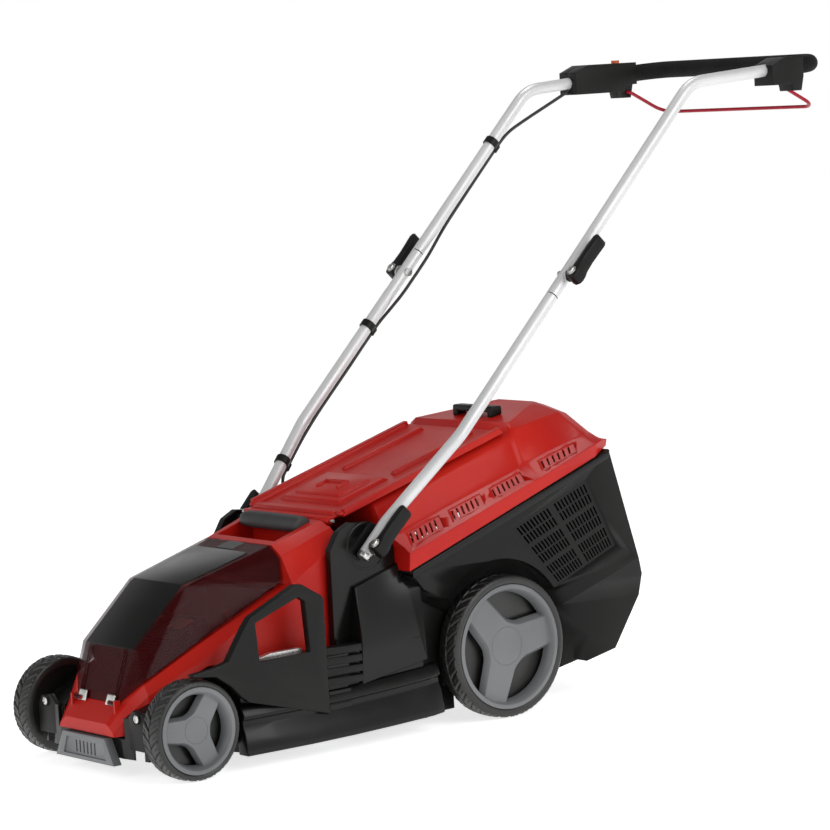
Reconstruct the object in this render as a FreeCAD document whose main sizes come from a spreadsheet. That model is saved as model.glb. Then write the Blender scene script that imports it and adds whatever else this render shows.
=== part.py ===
import FreeCAD, Part
import math
import os
from types import SimpleNamespace

import Sketcher
from FreeCAD import Placement, Rotation, Vector

# Cordless rotary lawn mower with a rear grass box and a folding handle.
# X points to the mower's left, Y to the rear and Z up. The model is drawn with Y measured from
# the front axle and Z from the ground, and every sub-part is then moved by front_axle_y, which
# puts the origin on the ground at the middle of the whole mower.

doc = FreeCAD.newDocument("lawn_mower")
sheet = doc.addObject("Spreadsheet::Sheet", "Sizes")

SIZES = [
    ("front_axle_y", -640.0, "front axle's place in the finished model"),
    ("front_wheel_diameter", 150.0, "front wheel over the tread"),
    ("rear_wheel_diameter", 225.0, "rear wheel over the tread"),
    ("wheelbase", 589.0, "front axle to rear axle"),
    ("wheel_width", 42.0, "width of every wheel"),
    ("front_wheel_face", 200.0, "outer face of a front wheel from the middle"),
    ("rear_wheel_face", 208.0, "outer face of a rear wheel from the middle"),
    ("tread_depth", 10.6, "front tyre from rim seat to tread"),
    ("rear_tread_depth", 14.9, "rear tyre from rim seat to tread"),
    ("axle_diameter", 12.0, "cranked axle rod"),
    ("running_gap", 0.05, "radial clearance of turning parts"),
    ("part_gap", 0.4, "gap between neighbouring mouldings"),
    ("crank_arm", 45.0, "cranked axle, pivot to wheel centre"),
    ("lift_travel", 50.0, "change in cutting height"),
    ("lug_length", 60.0, "crank lug that carries the link rod"),
    ("link_x", 127.0, "link rod's distance from the middle"),
    ("skirt_bottom", 22.0, "deck skirt above the ground in the lowest setting"),
    ("deck_top", 92.0, "top plate of the deck"),
    ("shoulder_top", 150.0, "top of the deck's shoulders"),
    ("deck_wall", 4.0, "deck wall thickness"),
    ("deck_half_width", 184.0, "outside of the deck's side"),
    ("chamber_radius", 174.0, "inside of the blade chamber"),
    ("spindle_y", 285.0, "blade spindle behind the front axle"),
    ("blade_length", 330.0, "cutting width"),
    ("blade_width", 46.0, "blade bar"),
    ("blade_thickness", 3.0, "blade bar"),
    ("blade_bottom", 36.0, "underside of the blade"),
    ("motor_radius", 48.0, "motor housing"),
    ("motor_height", 56.0, "motor housing above the deck"),
    ("shaft_diameter", 12.0, "motor shaft"),
    ("hood_wall", 3.0, "hood and lid wall thickness"),
    ("tower_gap", 1.0, "between a handle tower and the lower tube"),
    ("pivot_x", 167.0, "lower tube's centre at its pivot"),
    ("pivot_y", 356.0, "handle pivot behind the front axle"),
    ("pivot_z", 298.0, "handle pivot above the ground"),
    ("dome_radius", 36.0, "round boss behind the handle pivot"),
    ("tube_diameter", 20.0, "handle tube"),
    ("tube_wall", 1.5, "handle tube wall"),
    ("splay_y", 515.0, "splay bend behind the front axle"),
    ("splay_z", 454.5, "splay bend above the ground"),
    ("joint_y", 744.5, "fold joint behind the front axle"),
    ("joint_z", 682.5, "fold joint above the ground"),
    ("top_bend_y", 1032.0, "top bend behind the front axle"),
    ("top_bend_z", 971.0, "top bend above the ground"),
    ("grip_y", 1329.0, "crossbar centre behind the front axle"),
    ("grip_z", 992.0, "crossbar centre above the ground"),
    ("upper_x", 206.0, "upper tube from the middle"),
    ("foam_diameter", 29.0, "foam grip"),
    ("lap", 44.0, "half length of the halved ends at the fold joint"),
    ("bolt_diameter", 8.0, "handle bolts"),
    ("bail_diameter", 6.0, "bail rod"),
    ("bail_x", 188.0, "bail arm from the middle"),
    ("bail_pivot_y", 1252.0, "bail pivot behind the front axle"),
    ("bail_pivot_z", 957.0, "bail pivot above the ground"),
    ("bail_bar_y", 1330.0, "bail crossbar behind the front axle"),
    ("bail_bar_z", 918.0, "bail crossbar above the ground"),
    ("switch_length", 180.0, "switch housing along the tube"),
    ("button_radius", 7.0, "lock-off button"),
    ("cable_diameter", 5.5, "switch cable"),
    ("battery_length", 122.0, "battery pack"),
    ("battery_width", 72.0, "battery pack"),
    ("battery_height", 60.0, "battery pack"),
    ("battery_gap", 6.0, "between the two packs"),
    ("bay_angle", 20.0, "slope of the battery bay"),
    ("tray_margin", 8.0, "from a pack's side to the outside of the battery tray"),
    ("carry_half_width", 80.0, "half length of the carry handle's recess"),
    ("carry_depth", 24.0, "carry handle bar, front to back"),
    ("panel_inner", 184.0, "inner face of the side grip"),
    ("panel_outer", 198.0, "outer face of the side grip"),
    ("flap_half_width", 124.0, "rear flap"),
    ("flap_y", 326.0, "flap hinge behind the front axle"),
    ("flap_z", 338.0, "flap hinge above the ground"),
    ("flap_slope", 16.0, "slope of the flap and of the box's way out"),
    ("flap_length", 356.0, "flap from hinge to free edge"),
    ("flap_thickness", 4.0, "flap plate"),
    ("hinge_pin_diameter", 5.0, "hinge pins"),
    ("box_half_width", 193.0, "grass box rim"),
    ("box_wall", 3.0, "grass box wall"),
    ("box_lower_half_width", 157.0, "grass box between the rear wheels"),
]
for row, (alias, value, note) in enumerate(SIZES, start=1):
    sheet.set(f"A{row}", note)
    sheet.set(f"B{row}", str(value))
    sheet.setAlias(f"B{row}", alias)
doc.recompute()


def words(value):
    """The text of a value inside a sheet expression."""
    return value.text if isinstance(value, Size) else f"({float(value):.6f})"


class Size(float):
    """A number that also carries the sheet expression it was worked out from."""

    def __new__(cls, value, text):
        made = float.__new__(cls, value)
        made.text = text
        return made

    def __add__(self, other):
        return Size(float(self) + float(other), f"({self.text} + {words(other)})")

    def __radd__(self, other):
        return Size(float(other) + float(self), f"({words(other)} + {self.text})")

    def __sub__(self, other):
        return Size(float(self) - float(other), f"({self.text} - {words(other)})")

    def __rsub__(self, other):
        return Size(float(other) - float(self), f"({words(other)} - {self.text})")

    def __mul__(self, other):
        return Size(float(self) * float(other), f"({self.text} * {words(other)})")

    def __rmul__(self, other):
        return Size(float(other) * float(self), f"({words(other)} * {self.text})")

    def __truediv__(self, other):
        return Size(float(self) / float(other), f"({self.text} / {words(other)})")

    def __neg__(self):
        return Size(-float(self), f"(0 - {self.text})")


def root_of(value):
    return Size(math.sqrt(value), f"sqrt({words(value)})")


S = SimpleNamespace(**{alias: Size(sheet.get(alias), f"Sizes.{alias}") for alias, _, _ in SIZES})

NODES = []


def bind(thing, path, value):
    """Sets one property of a document object from a value, with its expression if it has one."""
    if isinstance(value, Size):
        thing.setExpression(path, value.text)


def node(label, thing):
    """Names a finished sub-part and moves it to its place in the finished model."""
    thing.Label = label
    spot = thing.Placement.Base
    known = dict(thing.ExpressionEngine)
    before = known.get("Placement.Base.y", known.get(".Placement.Base.y", f"({spot.y:.6f})"))
    thing.Placement = Placement(Vector(spot.x, spot.y + S.front_axle_y, spot.z), thing.Placement.Rotation)
    thing.setExpression("Placement.Base.y", f"{before} + {S.front_axle_y.text}")
    NODES.append(thing)
    return thing


def feature(label, shape):
    """A sub-part whose shape is worked out with Part's own functions."""
    thing = doc.addObject("Part::Feature", label)
    thing.Shape = shape
    return node(label, thing)


# ---- Part primitives bound to the sheet -------------------------------------------------------

def rod_x(name, x_start, length, y, z, radius):
    """A cylinder along X."""
    rod = doc.addObject("Part::Cylinder", name)
    rod.Radius = radius
    rod.Height = length
    bind(rod, "Radius", radius)
    bind(rod, "Height", length)
    rod.Placement = Placement(Vector(x_start, y, z), Rotation(Vector(0, 1, 0), 90))
    for axis, value in zip("xyz", (x_start, y, z)):
        bind(rod, f"Placement.Base.{axis}", value)
    return rod


def rod_z(name, x, y, z_start, height, radius):
    """A cylinder along Z."""
    rod = doc.addObject("Part::Cylinder", name)
    rod.Radius = radius
    rod.Height = height
    bind(rod, "Radius", radius)
    bind(rod, "Height", height)
    rod.Placement = Placement(Vector(x, y, z_start), Rotation())
    for axis, value in zip("xyz", (x, y, z_start)):
        bind(rod, f"Placement.Base.{axis}", value)
    return rod


def block(name, corner, size):
    """A box from its lowest corner and its three lengths."""
    made = doc.addObject("Part::Box", name)
    for prop, value in zip(("Length", "Width", "Height"), size):
        setattr(made, prop, value)
        bind(made, prop, value)
    made.Placement = Placement(Vector(*corner), Rotation())
    for axis, value in zip("xyz", corner):
        bind(made, f"Placement.Base.{axis}", value)
    return made


def cut(name, base, tool):
    made = doc.addObject("Part::Cut", name)
    made.Base, made.Tool = base, tool
    return made


def fuse(name, parts):
    made = doc.addObject("Part::MultiFuse", name)
    made.Shapes = parts
    return made


def ring_x(name, x_start, length, y, z, outer, inner):
    """A bush or washer along X."""
    solid = rod_x(name + "_outside", x_start, length, y, z, outer)
    hole = rod_x(name + "_bore", x_start, length, y, z, inner)
    return cut(name, solid, hole)


def hex_nut_x(name, x_start, length, y, z, across, inner):
    """A hexagon nut along X, with across its distance between corners."""
    nut = doc.addObject("Part::Prism", name + "_hexagon")
    nut.Polygon = 6
    nut.Circumradius = across / 2
    nut.Height = length
    nut.Placement = Placement(Vector(x_start, y, z), Rotation(Vector(0, 1, 0), 90))
    for axis, value in zip("xyz", (x_start, y, z)):
        bind(nut, f"Placement.Base.{axis}", value)
    return cut(name, nut, rod_x(name + "_bore", x_start, length, y, z, inner))


# ---- PartDesign bodies built from closed outlines ---------------------------------------------

class Piece:
    """A PartDesign body whose outlines are bound, corner by corner, to the sheet."""

    def __init__(self, name):
        self.body = doc.addObject("PartDesign::Body", name)
        self.name = name

    def plane(self, role):
        return next(item for item in self.body.Origin.OriginFeatures if item.Role == role)

    def sketch(self, role, corners, offset=0.0):
        """A closed outline on an origin plane, moved along the plane's normal by offset."""
        made = self.body.newObject("Sketcher::SketchObject", self.name + "_outline")
        made.AttachmentSupport = [(self.plane(role), "")]
        made.MapMode = "FlatFace"
        made.AttachmentOffset = Placement(Vector(0, 0, offset), Rotation())
        bind(made, "AttachmentOffset.Base.z", offset)
        points = [Vector(u, v, 0) for u, v in corners]
        for first, second in zip(points, points[1:] + points[:1]):
            made.addGeometry(Part.LineSegment(first, second), False)
        for index, (u, v) in enumerate(corners):
            following = (index + 1) % len(corners)
            made.addConstraint(Sketcher.Constraint("Coincident", index, 2, following, 1))
            for kind, value in (("DistanceX", u), ("DistanceY", v)):
                number = made.addConstraint(Sketcher.Constraint(kind, -1, 1, index, 1, float(value)))
                if isinstance(value, Size):
                    made.renameConstraint(number, f"{kind[-1].lower()}{index}")
                    made.setExpression(f"Constraints.{kind[-1].lower()}{index}", value.text)
        return made

    def grow(self, kind, profile, length):
        made = self.body.newObject("PartDesign::" + kind, self.name + "_" + kind.lower())
        made.Profile = profile
        made.Length = length
        bind(made, "Length", length)
        return made

    def pad_x(self, corners, start, length):
        """Adds the (y, z) outline between x = start and start + length."""
        return self.grow("Pad", self.sketch("YZ_Plane", corners, start), length)

    def pocket_x(self, corners, start, length):
        """Cuts the (y, z) outline between x = start and start + length."""
        made = self.grow("Pocket", self.sketch("YZ_Plane", corners, start), length)
        made.Reversed = True
        return made

    def pad_z(self, corners, start, length):
        """Adds the (x, y) outline between z = start and start + length."""
        return self.grow("Pad", self.sketch("XY_Plane", corners, start), length)

    def turn(self, role, corners, axis):
        """Turns an outline a whole turn about the H_Axis or V_Axis of its sketch."""
        profile = self.sketch(role, corners)
        made = self.body.newObject("PartDesign::Revolution", self.name + "_turned")
        made.Profile = profile
        made.ReferenceAxis = (profile, [axis])
        made.Angle = 360.0
        return made

    def done(self, y=0.0, z=0.0):
        self.body.Placement = Placement(Vector(0, y, z), Rotation())
        bind(self.body, "Placement.Base.y", y)
        bind(self.body, "Placement.Base.z", z)
        return node(self.name, self.body)


# ---- free shapes -------------------------------------------------------------------------------

def polygon(points):
    return Part.makePolygon([Vector(*p) for p in points] + [Vector(*points[0])])


def prism_x(points, x_start, x_end):
    """The (y, z) outline swept along X."""
    face = Part.Face(polygon([(x_start, y, z) for y, z in points]))
    return face.extrude(Vector(x_end - x_start, 0, 0))


def prism_z(points, z_start, z_end):
    """The (x, y) outline swept along Z."""
    face = Part.Face(polygon([(x, y, z_start) for x, y in points]))
    return face.extrude(Vector(0, 0, z_end - z_start))


def both_sides(right_half):
    """A closed outline from the +x half of a symmetric one."""
    return right_half + [(-x, y) for x, y in reversed(right_half)]


def slab(x_low, x_high, y_low, y_high, z_low, z_high):
    return Part.makeBox(x_high - x_low, y_high - y_low, z_high - z_low, Vector(x_low, y_low, z_low))


def bar_x(x_start, x_end, y, z, radius):
    return Part.makeCylinder(radius, x_end - x_start, Vector(x_start, y, z), Vector(1, 0, 0))


def mirrored(shape):
    return shape.mirror(Vector(0, 0, 0), Vector(1, 0, 0))


def pair(shape):
    return shape.fuse(mirrored(shape))


def loft_y(sections):
    """A ruled solid through (y, right-hand outline) sections, each outline being (x, z) corners."""
    wires = [polygon([(x, y, z) for x, z in both_sides(half)]) for y, half in sections]
    return Part.makeLoft(wires, True, True)


def path(points, radius):
    """Straight runs joined by tangent arcs; radius is one number or one for each corner."""
    spots = [Vector(*p) for p in points]
    radii = radius if isinstance(radius, list) else [radius] * (len(spots) - 2)
    edges = []
    start = spots[0]
    for before, corner, after, bend in zip(spots, spots[1:], spots[2:], radii):
        inward = (before - corner).normalize()
        outward = (after - corner).normalize()
        half_turn = (math.pi - inward.getAngle(outward)) / 2
        reach = bend * math.tan(half_turn)
        first, last = corner + inward * reach, corner + outward * reach
        middle_way = (inward + outward).normalize()
        middle = corner + middle_way * (bend / math.cos(half_turn) - bend)
        edges.append(Part.LineSegment(start, first).toShape())
        edges.append(Part.Arc(first, middle, last).toShape())
        start = last
    edges.append(Part.LineSegment(start, spots[-1]).toShape())
    return Part.Wire(edges)


def rod_along(wire, radius):
    """A round rod that follows a path."""
    first = wire.Edges[0]
    start = first.valueAt(first.FirstParameter)
    way = first.tangentAt(first.FirstParameter)
    circle = Part.Wire(Part.Circle(start, way, radius).toShape())
    return wire.makePipeShell([circle], True, False)


def link_plate(x_start, x_end, spots, radius):
    """A plate with round ends that joins two (y, z) spots."""
    (y1, z1), (y2, z2) = spots
    along = Vector(0, y2 - y1, z2 - z1)
    side = Vector(0, -along.z, along.y).normalize() * radius
    corners = [Vector(0, y1, z1) + side, Vector(0, y2, z2) + side,
               Vector(0, y2, z2) - side, Vector(0, y1, z1) - side]
    web = prism_x([(c.y, c.z) for c in corners], x_start, x_end)
    ends = [bar_x(x_start, x_end, y, z, radius) for y, z in spots]
    return web.fuse(ends).removeSplitter()


def one_solid(shape):
    """The single solid of a boolean result."""
    assert len(shape.Solids) == 1, f"{len(shape.Solids)} solids instead of one"
    return shape.Solids[0]


# ---- places shared by several sub-parts --------------------------------------------------------

front_radius = S.front_wheel_diameter / 2
rear_radius = S.rear_wheel_diameter / 2
axle_radius = S.axle_diameter / 2
half_lift = S.lift_travel / 2
crank_reach = root_of(S.crank_arm * S.crank_arm - half_lift * half_lift)
lug_rise = S.lug_length * (crank_reach / S.crank_arm)
lug_reach = S.lug_length * (half_lift / S.crank_arm)
front_pivot = (crank_reach, front_radius - half_lift)
rear_pivot = (S.wheelbase + crank_reach, rear_radius - half_lift)
tube_radius = S.tube_diameter / 2
tower_face = S.pivot_x - tube_radius - S.tower_gap
bolt_radius = S.bolt_diameter / 2
arm_thickness = 9.0
arm_clear = 4.0
front_arm_x = S.front_wheel_face - S.wheel_width - arm_clear - arm_thickness
rear_arm_x = S.rear_wheel_face - S.wheel_width - arm_clear - arm_thickness
nose_half_width = front_arm_x - 4.0
rail_outer = rear_arm_x - 4.0
rail_inner = S.link_x + 5.0
bush_radius = axle_radius + 4.0
hub_inset = 24.0
bay_floor_y, bay_floor_z = -28.0, 100.0
bay_rise = math.tan(math.radians(S.bay_angle))
flap_rise = math.tan(math.radians(S.flap_slope))


def floor_of_bay(y):
    return bay_floor_z + (y - bay_floor_y) * bay_rise


def under_flap(y):
    """Height of the flap's underside."""
    return S.flap_z + (y - S.flap_y) * flap_rise - 1.0


# ---- wheels -----------------------------------------------------------------------------------

def wheel(name, side, face, radius, tread, y, z):
    """A black wheel moulding with its tyre, and the grey cover clipped into it."""
    seat = radius - tread
    back = face - S.wheel_width
    web = face - 30.0
    bore = axle_radius + S.running_gap
    outline = [(back, radius - 5.0), (back + 4.0, radius - 1.0), (back + 10.0, radius),
               (face - 10.0, radius), (face - 4.0, radius - 1.0), (face, radius - 5.0),
               (face, seat + 0.2), (web + 2.0, seat + 0.2), (web + 2.0, 16.0),
               (face - hub_inset, 16.0), (face - hub_inset, bore), (back + 2.0, bore),
               (back + 2.0, 16.0), (web - 2.0, 16.0), (web - 2.0, seat - 2.0), (back, seat - 2.0)]
    moulding = Piece(f"{name}_wheel")
    moulding.turn("XY_Plane", [(side * x, r) for x, r in outline], "H_Axis")
    moulding.done(y, z)

    ring = [(face, seat), (face, seat - 8.0), (face - 3.0, seat - 8.0), (face - 5.0, seat - 3.0),
            (web + 3.0, seat - 3.0), (web + 3.0, seat)]
    cover = Piece(f"{name}_wheel_cover")
    cover.turn("XY_Plane", [(side * x, r) for x, r in ring], "H_Axis")
    hub_start = face - 13.0 if side > 0 else 9.0 - face
    hub = cover.body.newObject("PartDesign::AdditiveCylinder", cover.name + "_hub")
    hub.AttachmentSupport = [(cover.plane("YZ_Plane"), "")]
    hub.MapMode = "FlatFace"
    hub.AttachmentOffset = Placement(Vector(0, 0, hub_start), Rotation())
    bind(hub, "AttachmentOffset.Base.z", hub_start)
    hub.Radius, hub.Height = 24.0, 4.0
    spoke = cover.pad_x([(-13.0, 12.0), (13.0, 12.0), (19.0, seat - 2.9), (-19.0, seat - 2.9)],
                        hub_start, 4.0)
    doc.recompute()
    spokes = cover.body.newObject("PartDesign::PolarPattern", cover.name + "_spokes")
    spokes.Originals = [spoke]
    spokes.Axis = (spoke.Profile[0], ["N_Axis"])
    spokes.Angle = 360.0
    spokes.Occurrences = 3
    cover.body.Tip = spokes
    cover.done(y, z)


for side, hand in ((1, "left"), (-1, "right")):
    wheel(f"front_{hand}", side, S.front_wheel_face, front_radius, S.tread_depth, 0.0, front_radius)
    wheel(f"rear_{hand}", side, S.rear_wheel_face, rear_radius, S.rear_tread_depth,
          S.wheelbase, rear_radius)


# ---- cranked axles, link rod and their bearings -----------------------------------------------

def crank_axle(name, pivot, wheel_spot, arm_x, face):
    """One bent rod: cross shaft, an arm and a stub at each end, and the lug for the link rod."""
    shaft = bar_x(-arm_x - arm_thickness, arm_x + arm_thickness, *pivot, axle_radius)
    arm = link_plate(arm_x, arm_x + arm_thickness, [pivot, wheel_spot], 10.0)
    stub_end = face - 16.0
    stub = bar_x(arm_x, stub_end, *wheel_spot, axle_radius)
    lug_spot = (pivot[0] + lug_reach, pivot[1] + lug_rise)
    lug_x = S.link_x - 9.0
    lug = link_plate(lug_x, lug_x + 6.0, [pivot, lug_spot], 9.0)
    pin = bar_x(lug_x, S.link_x + 3.5, *lug_spot, 3.0)
    return feature(name, one_solid(shaft.fuse([pair(arm), pair(stub), lug, pin])))


front_spot = (0.0, front_radius)
rear_spot = (S.wheelbase, rear_radius)
crank_axle("front_crank_axle", front_pivot, front_spot, front_arm_x, S.front_wheel_face)
crank_axle("rear_crank_axle", rear_pivot, rear_spot, rear_arm_x, S.rear_wheel_face)

for name, face, (y, z) in (("front", S.front_wheel_face, front_spot),
                           ("rear", S.rear_wheel_face, rear_spot)):
    nut_x = face - hub_inset + 0.5
    nuts = [hex_nut_x(f"{name}_left_nut", nut_x, 6.0, y, z, 22.0, axle_radius),
            hex_nut_x(f"{name}_right_nut", -nut_x - 6.0, 6.0, y, z, 22.0, axle_radius)]
    node(f"{name}_axle_nuts", fuse(f"{name}_axle_nuts", nuts))

bushes = []
for name, start, length, (y, z) in (
        ("front", rail_inner - 1.0, nose_half_width - rail_inner + 1.0, front_pivot),
        ("rear", rail_inner, rail_outer - rail_inner, rear_pivot)):
    bore = axle_radius + S.running_gap
    bushes.append(ring_x(f"{name}_left_bush", start, length, y, z, bush_radius, bore))
    bushes.append(ring_x(f"{name}_right_bush", -start - length, length, y, z, bush_radius, bore))
node("axle_bushes", fuse("axle_bushes", bushes))


def link_rod():
    """The rod that makes both axles swing together, with an eye at each end."""
    ends = [(y + lug_reach, z + lug_rise) for y, z in (front_pivot, rear_pivot)]
    start = S.link_x - 2.5
    bar = link_plate(start, start + 5.0, ends, 3.0)
    eyes = [bar_x(start, start + 5.0, y, z, 6.5) for y, z in ends]
    bores = [bar_x(start - 1.0, start + 6.0, y, z, 3.0 + S.running_gap) for y, z in ends]
    return one_solid(bar.fuse(eyes).cut(bores[0]).cut(bores[1]))


feature("height_link_rod", link_rod())
node("lift_spring", ring_x("lift_spring", 20.0, 44.0, *front_pivot, axle_radius + 5.0,
                           axle_radius + 1.0))


# ---- hood -------------------------------------------------------------------------------------

HOOD_NOSE = [(-68.0, [(74, 62), (72, 68), (62, 76), (54, 80)]),
             (-38.0, [(88, 62), (88, 100), (73, 110), (54, 112)])]
HOOD_FRONT = [(-38.0, [(88, 95), (88, 100), (73, 110), (54, 112)]),
              (-20.0, [(102, 108), (101, 120), (91, 135), (54, 136)]),
              (74.0, [(124, 152), (118, 163), (100, 181), (54, 184)]),
              (231.0, [(138, 152), (133, 255), (111, 253), (54, 254)])]
HOOD_REAR = [(231.0, [(138, 152), (133, 255), (108, 296), (85, 311)]),
             (320.0, [(142, 152), (141, 310), (118, 330), (94, 339)])]


def grown(sections, wall, lower):
    """The same sections moved outwards by wall (inwards if negative), with lower added below."""
    made = []
    for y, half in sections:
        bottom = [(half[0][0] + wall, half[0][1] - lower)]
        rest = [(x + wall, z + wall) for x, z in half[1:]]
        made.append((y, bottom + rest))
    return made


def hood_outside(grow=0.0):
    """The hood as a solid, grown evenly for cutting its neighbours clear of it."""
    parts = [loft_y(grown(sections, grow, grow)) for sections in (HOOD_NOSE, HOOD_FRONT, HOOD_REAR)]
    return parts[0].fuse(parts[1:])


def hood():
    wall = S.hood_wall
    shell = hood_outside()
    inner_nose = [(HOOD_NOSE[0][0] + wall, HOOD_NOSE[0][1]), (HOOD_NOSE[1][0] + 0.5, HOOD_NOSE[1][1])]
    inner_front = [(HOOD_FRONT[0][0] - 0.5, HOOD_FRONT[0][1])] + HOOD_FRONT[1:3]
    inner_front += [(HOOD_FRONT[3][0] + 0.5, HOOD_FRONT[3][1])]
    inner_rear = [(HOOD_REAR[0][0] + wall, HOOD_REAR[0][1]), (HOOD_REAR[1][0] - wall, HOOD_REAR[1][1])]
    for sections in (inner_nose, inner_front):
        shell = shell.cut(loft_y(grown(sections, -wall, 1.0)))
    shell = shell.cut(loft_y(grown(inner_rear, -wall, 1.0)))
    low_rear = [(inner_front[-1][0] - 1.0, [(138, 152), (133, 250), (111, 249), (54, 249)]),
                (inner_rear[0][0] + 1.0, [(138, 152), (133, 250), (111, 249), (54, 249)])]
    shell = shell.cut(loft_y(grown(low_rear, -wall, 1.0)))
    bay_mouth = [(-34.0, [(52, 90), (52, 400)]), (0.0, [(86, 90), (86, 400)]),
                 (228.0, [(100, 90), (100, 400)])]
    shell = shell.cut(loft_y(bay_mouth))
    half = S.carry_half_width
    tub = slab(-half, half, 240.0, 316.0, 286.0, 345.0).common(hood_outside())
    hollow = slab(-half + wall, half - wall, 240.0 + wall, 316.0 - wall, 286.0 + wall, 400.0)
    shell = shell.fuse(tub).cut(hollow)
    y, z = lid_axis
    ear = slab(lid_ear_x, lid_ear_x + 4, y - 5, y + 5, z - 17, z + 5)
    return one_solid(shell.fuse(pair(ear)).removeSplitter())


lid_axis = (-49.0, 107.5)
lid_barrel_x = 38.0
lid_ear_x = 56.5
hinge_radius = S.hinge_pin_diameter / 2
hood_shell = doc.addObject("Part::Feature", "hood_shell")
hood_shell.Shape = hood()
pin_length = lid_ear_x + 2.0 - lid_barrel_x
lid_pins = [rod_x("left_lid_pin", lid_barrel_x, pin_length, *lid_axis, hinge_radius),
            rod_x("right_lid_pin", -lid_barrel_x - pin_length, pin_length, *lid_axis, hinge_radius)]
node("hood", fuse("hood_with_pins", [hood_shell] + lid_pins))

carry_length = 2 * (S.carry_half_width - S.hood_wall)
bar_start = 316.0 - S.hood_wall - 2.0 - S.carry_depth
carry_bar = block("carry_bar", (-(S.carry_half_width - S.hood_wall), bar_start, 316.0),
                  (carry_length, S.carry_depth, 20.0))
doc.recompute()
carry_handle = doc.addObject("Part::Fillet", "carry_handle")
carry_handle.Base = carry_bar
along_x = [number for number, edge in enumerate(carry_bar.Shape.Edges, start=1)
           if edge.Length > 100.0]
carry_handle.Edges = [(number, 6.0, 6.0) for number in along_x]
node("carry_handle", carry_handle)


# ---- deck -------------------------------------------------------------------------------------

def blade_outline(reach):
    """The deck's right half seen from above, reach beyond its designed line."""
    side = S.deck_half_width + reach
    return [(84.0, -60.0), (nose_half_width + reach, -52.0), (nose_half_width + reach, 92.0),
            (166.0 + reach, 99.0), (side, 132.0), (side, 436.0), (160.0 + reach, 464.0),
            (156.0 + reach, 512.0)]


def deck():
    wall = S.deck_wall
    wide = S.deck_half_width
    chamber = Part.makeCylinder(S.chamber_radius, 84.0 + 20.0, Vector(0, S.spindle_y, -20.0))
    body = prism_z(both_sides(blade_outline(0.0)), S.skirt_bottom, S.deck_top)
    body = body.cut(slab(-160, 160, -70, 92, 0, 30))
    # nose: open underneath, with bearing ribs for the front axle
    inside = nose_half_width - 9.0
    body = body.cut(slab(-inside, inside, -56, 92, 0, 56))
    body = body.cut(slab(-inside, inside, -32, 92, 50, S.deck_top - wall))
    body = body.cut(slab(-90, 90, -70, -36, 60, 100))
    # blade chamber, its way out to the grass box, and light rear corners
    body = body.cut(chamber)
    body = body.cut(slab(-100, 100, 380, 470, 0, S.deck_top + 1))
    body = body.cut(slab(-100, 100, 460, 520, 0, 84))
    for side in (1, -1):
        low, high = sorted((side * 112.0, side * 150.0))
        body = body.cut(slab(low, high, 430, 505, 0, S.deck_top - wall))
    # shoulders: side walls with a ledge on top
    walls = [slab(wide - 8, wide, 132, 434, S.deck_top - 1, S.shoulder_top)]
    walls += [prism_z([(144, 96), (166, 99), (wide, 132), (wide - 8, 136), (162, 106), (144, 103)],
                      S.deck_top - 1, S.shoulder_top)]
    walls += [slab(rail_inner + 6, wide, 430, 434, S.deck_top - 1, S.shoulder_top)]
    walls += [slab(144, wide, 99, 434, S.shoulder_top - wall, S.shoulder_top)]
    # side cheeks over the front wheels
    cheek = [(-52, 58), (-52, 90), (-22, 108), (24, 130), (70, 146), (100, 150), (100, 90), (92, 58)]
    walls += [prism_x(cheek, nose_half_width - 6, nose_half_width)]
    top_skin = [(-52, 90), (-22, 108), (24, 130), (70, 146), (100, 150), (100, 147), (70, 143),
                (24, 127), (-22, 105), (-49, 89), (-49, 58), (-52, 58)]
    walls += [prism_x(top_skin, 84, nose_half_width)]
    # handle tower and the chute's side
    tower = [(287, 148), (289, 300), (306, 326), (330, 338), (370, 334), (396, 318), (410, 290),
             (410, 254), (436, 226), (441, 172), (452, 160), (452, 148)]
    walls += [prism_x(tower, tower_face - 12, tower_face)]
    walls += [bar_x(tower_face - 12, S.pivot_x - tube_radius - 0.5, S.pivot_y, S.pivot_z,
                    S.dome_radius)]
    chute = [(392, 90), (337, 322), (346, 330), (388, 326), (409, 290), (409, 254), (435, 226),
             (440, 172), (446, 164), (470, 90)]
    walls += [prism_x(chute, 112, 116)]
    # rear rails that carry the rear axle
    walls += [slab(rail_inner, rail_outer, 430, rear_pivot[0] + 18, 74, S.deck_top)]
    walls += [bar_x(rail_inner, rail_outer, *rear_pivot, 18.0)]
    for part in walls:
        body = body.fuse(part).fuse(mirrored(part))
    # front wall of the chute and the beam that carries the flap hinge
    body = body.fuse(prism_x([(392, 90), (396, 90), (342, 322), (338, 322)], -116, 116))
    body = body.fuse(slab(-tower_face + 2, tower_face - 2, 330, 342, 312, 326))
    # clearances: hood, link rod, lug, shafts, bushes, bolts, motor and spindle
    body = body.cut(hood_outside(1.0))
    x = S.link_x
    body = body.cut(slab(x - 12, x + 5, -6, 92, 40, 200))
    body = body.cut(slab(x - 7, x + 5, 85, 440, S.deck_top, 128))
    body = body.cut(slab(x - 12, x + 4.9, 425, rear_pivot[0] + 60, 60, 160))
    for pivot in (front_pivot, rear_pivot):
        body = body.cut(bar_x(-160, 160, *pivot, bush_radius))
    body = body.cut(bar_x(-260, 260, S.pivot_y, S.pivot_z, bolt_radius + S.running_gap))
    body = body.cut(Part.makeCylinder(boss_radius + 0.3, 40.0, Vector(0, S.spindle_y, 70.0)))
    return one_solid(body.removeSplitter())


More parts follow.
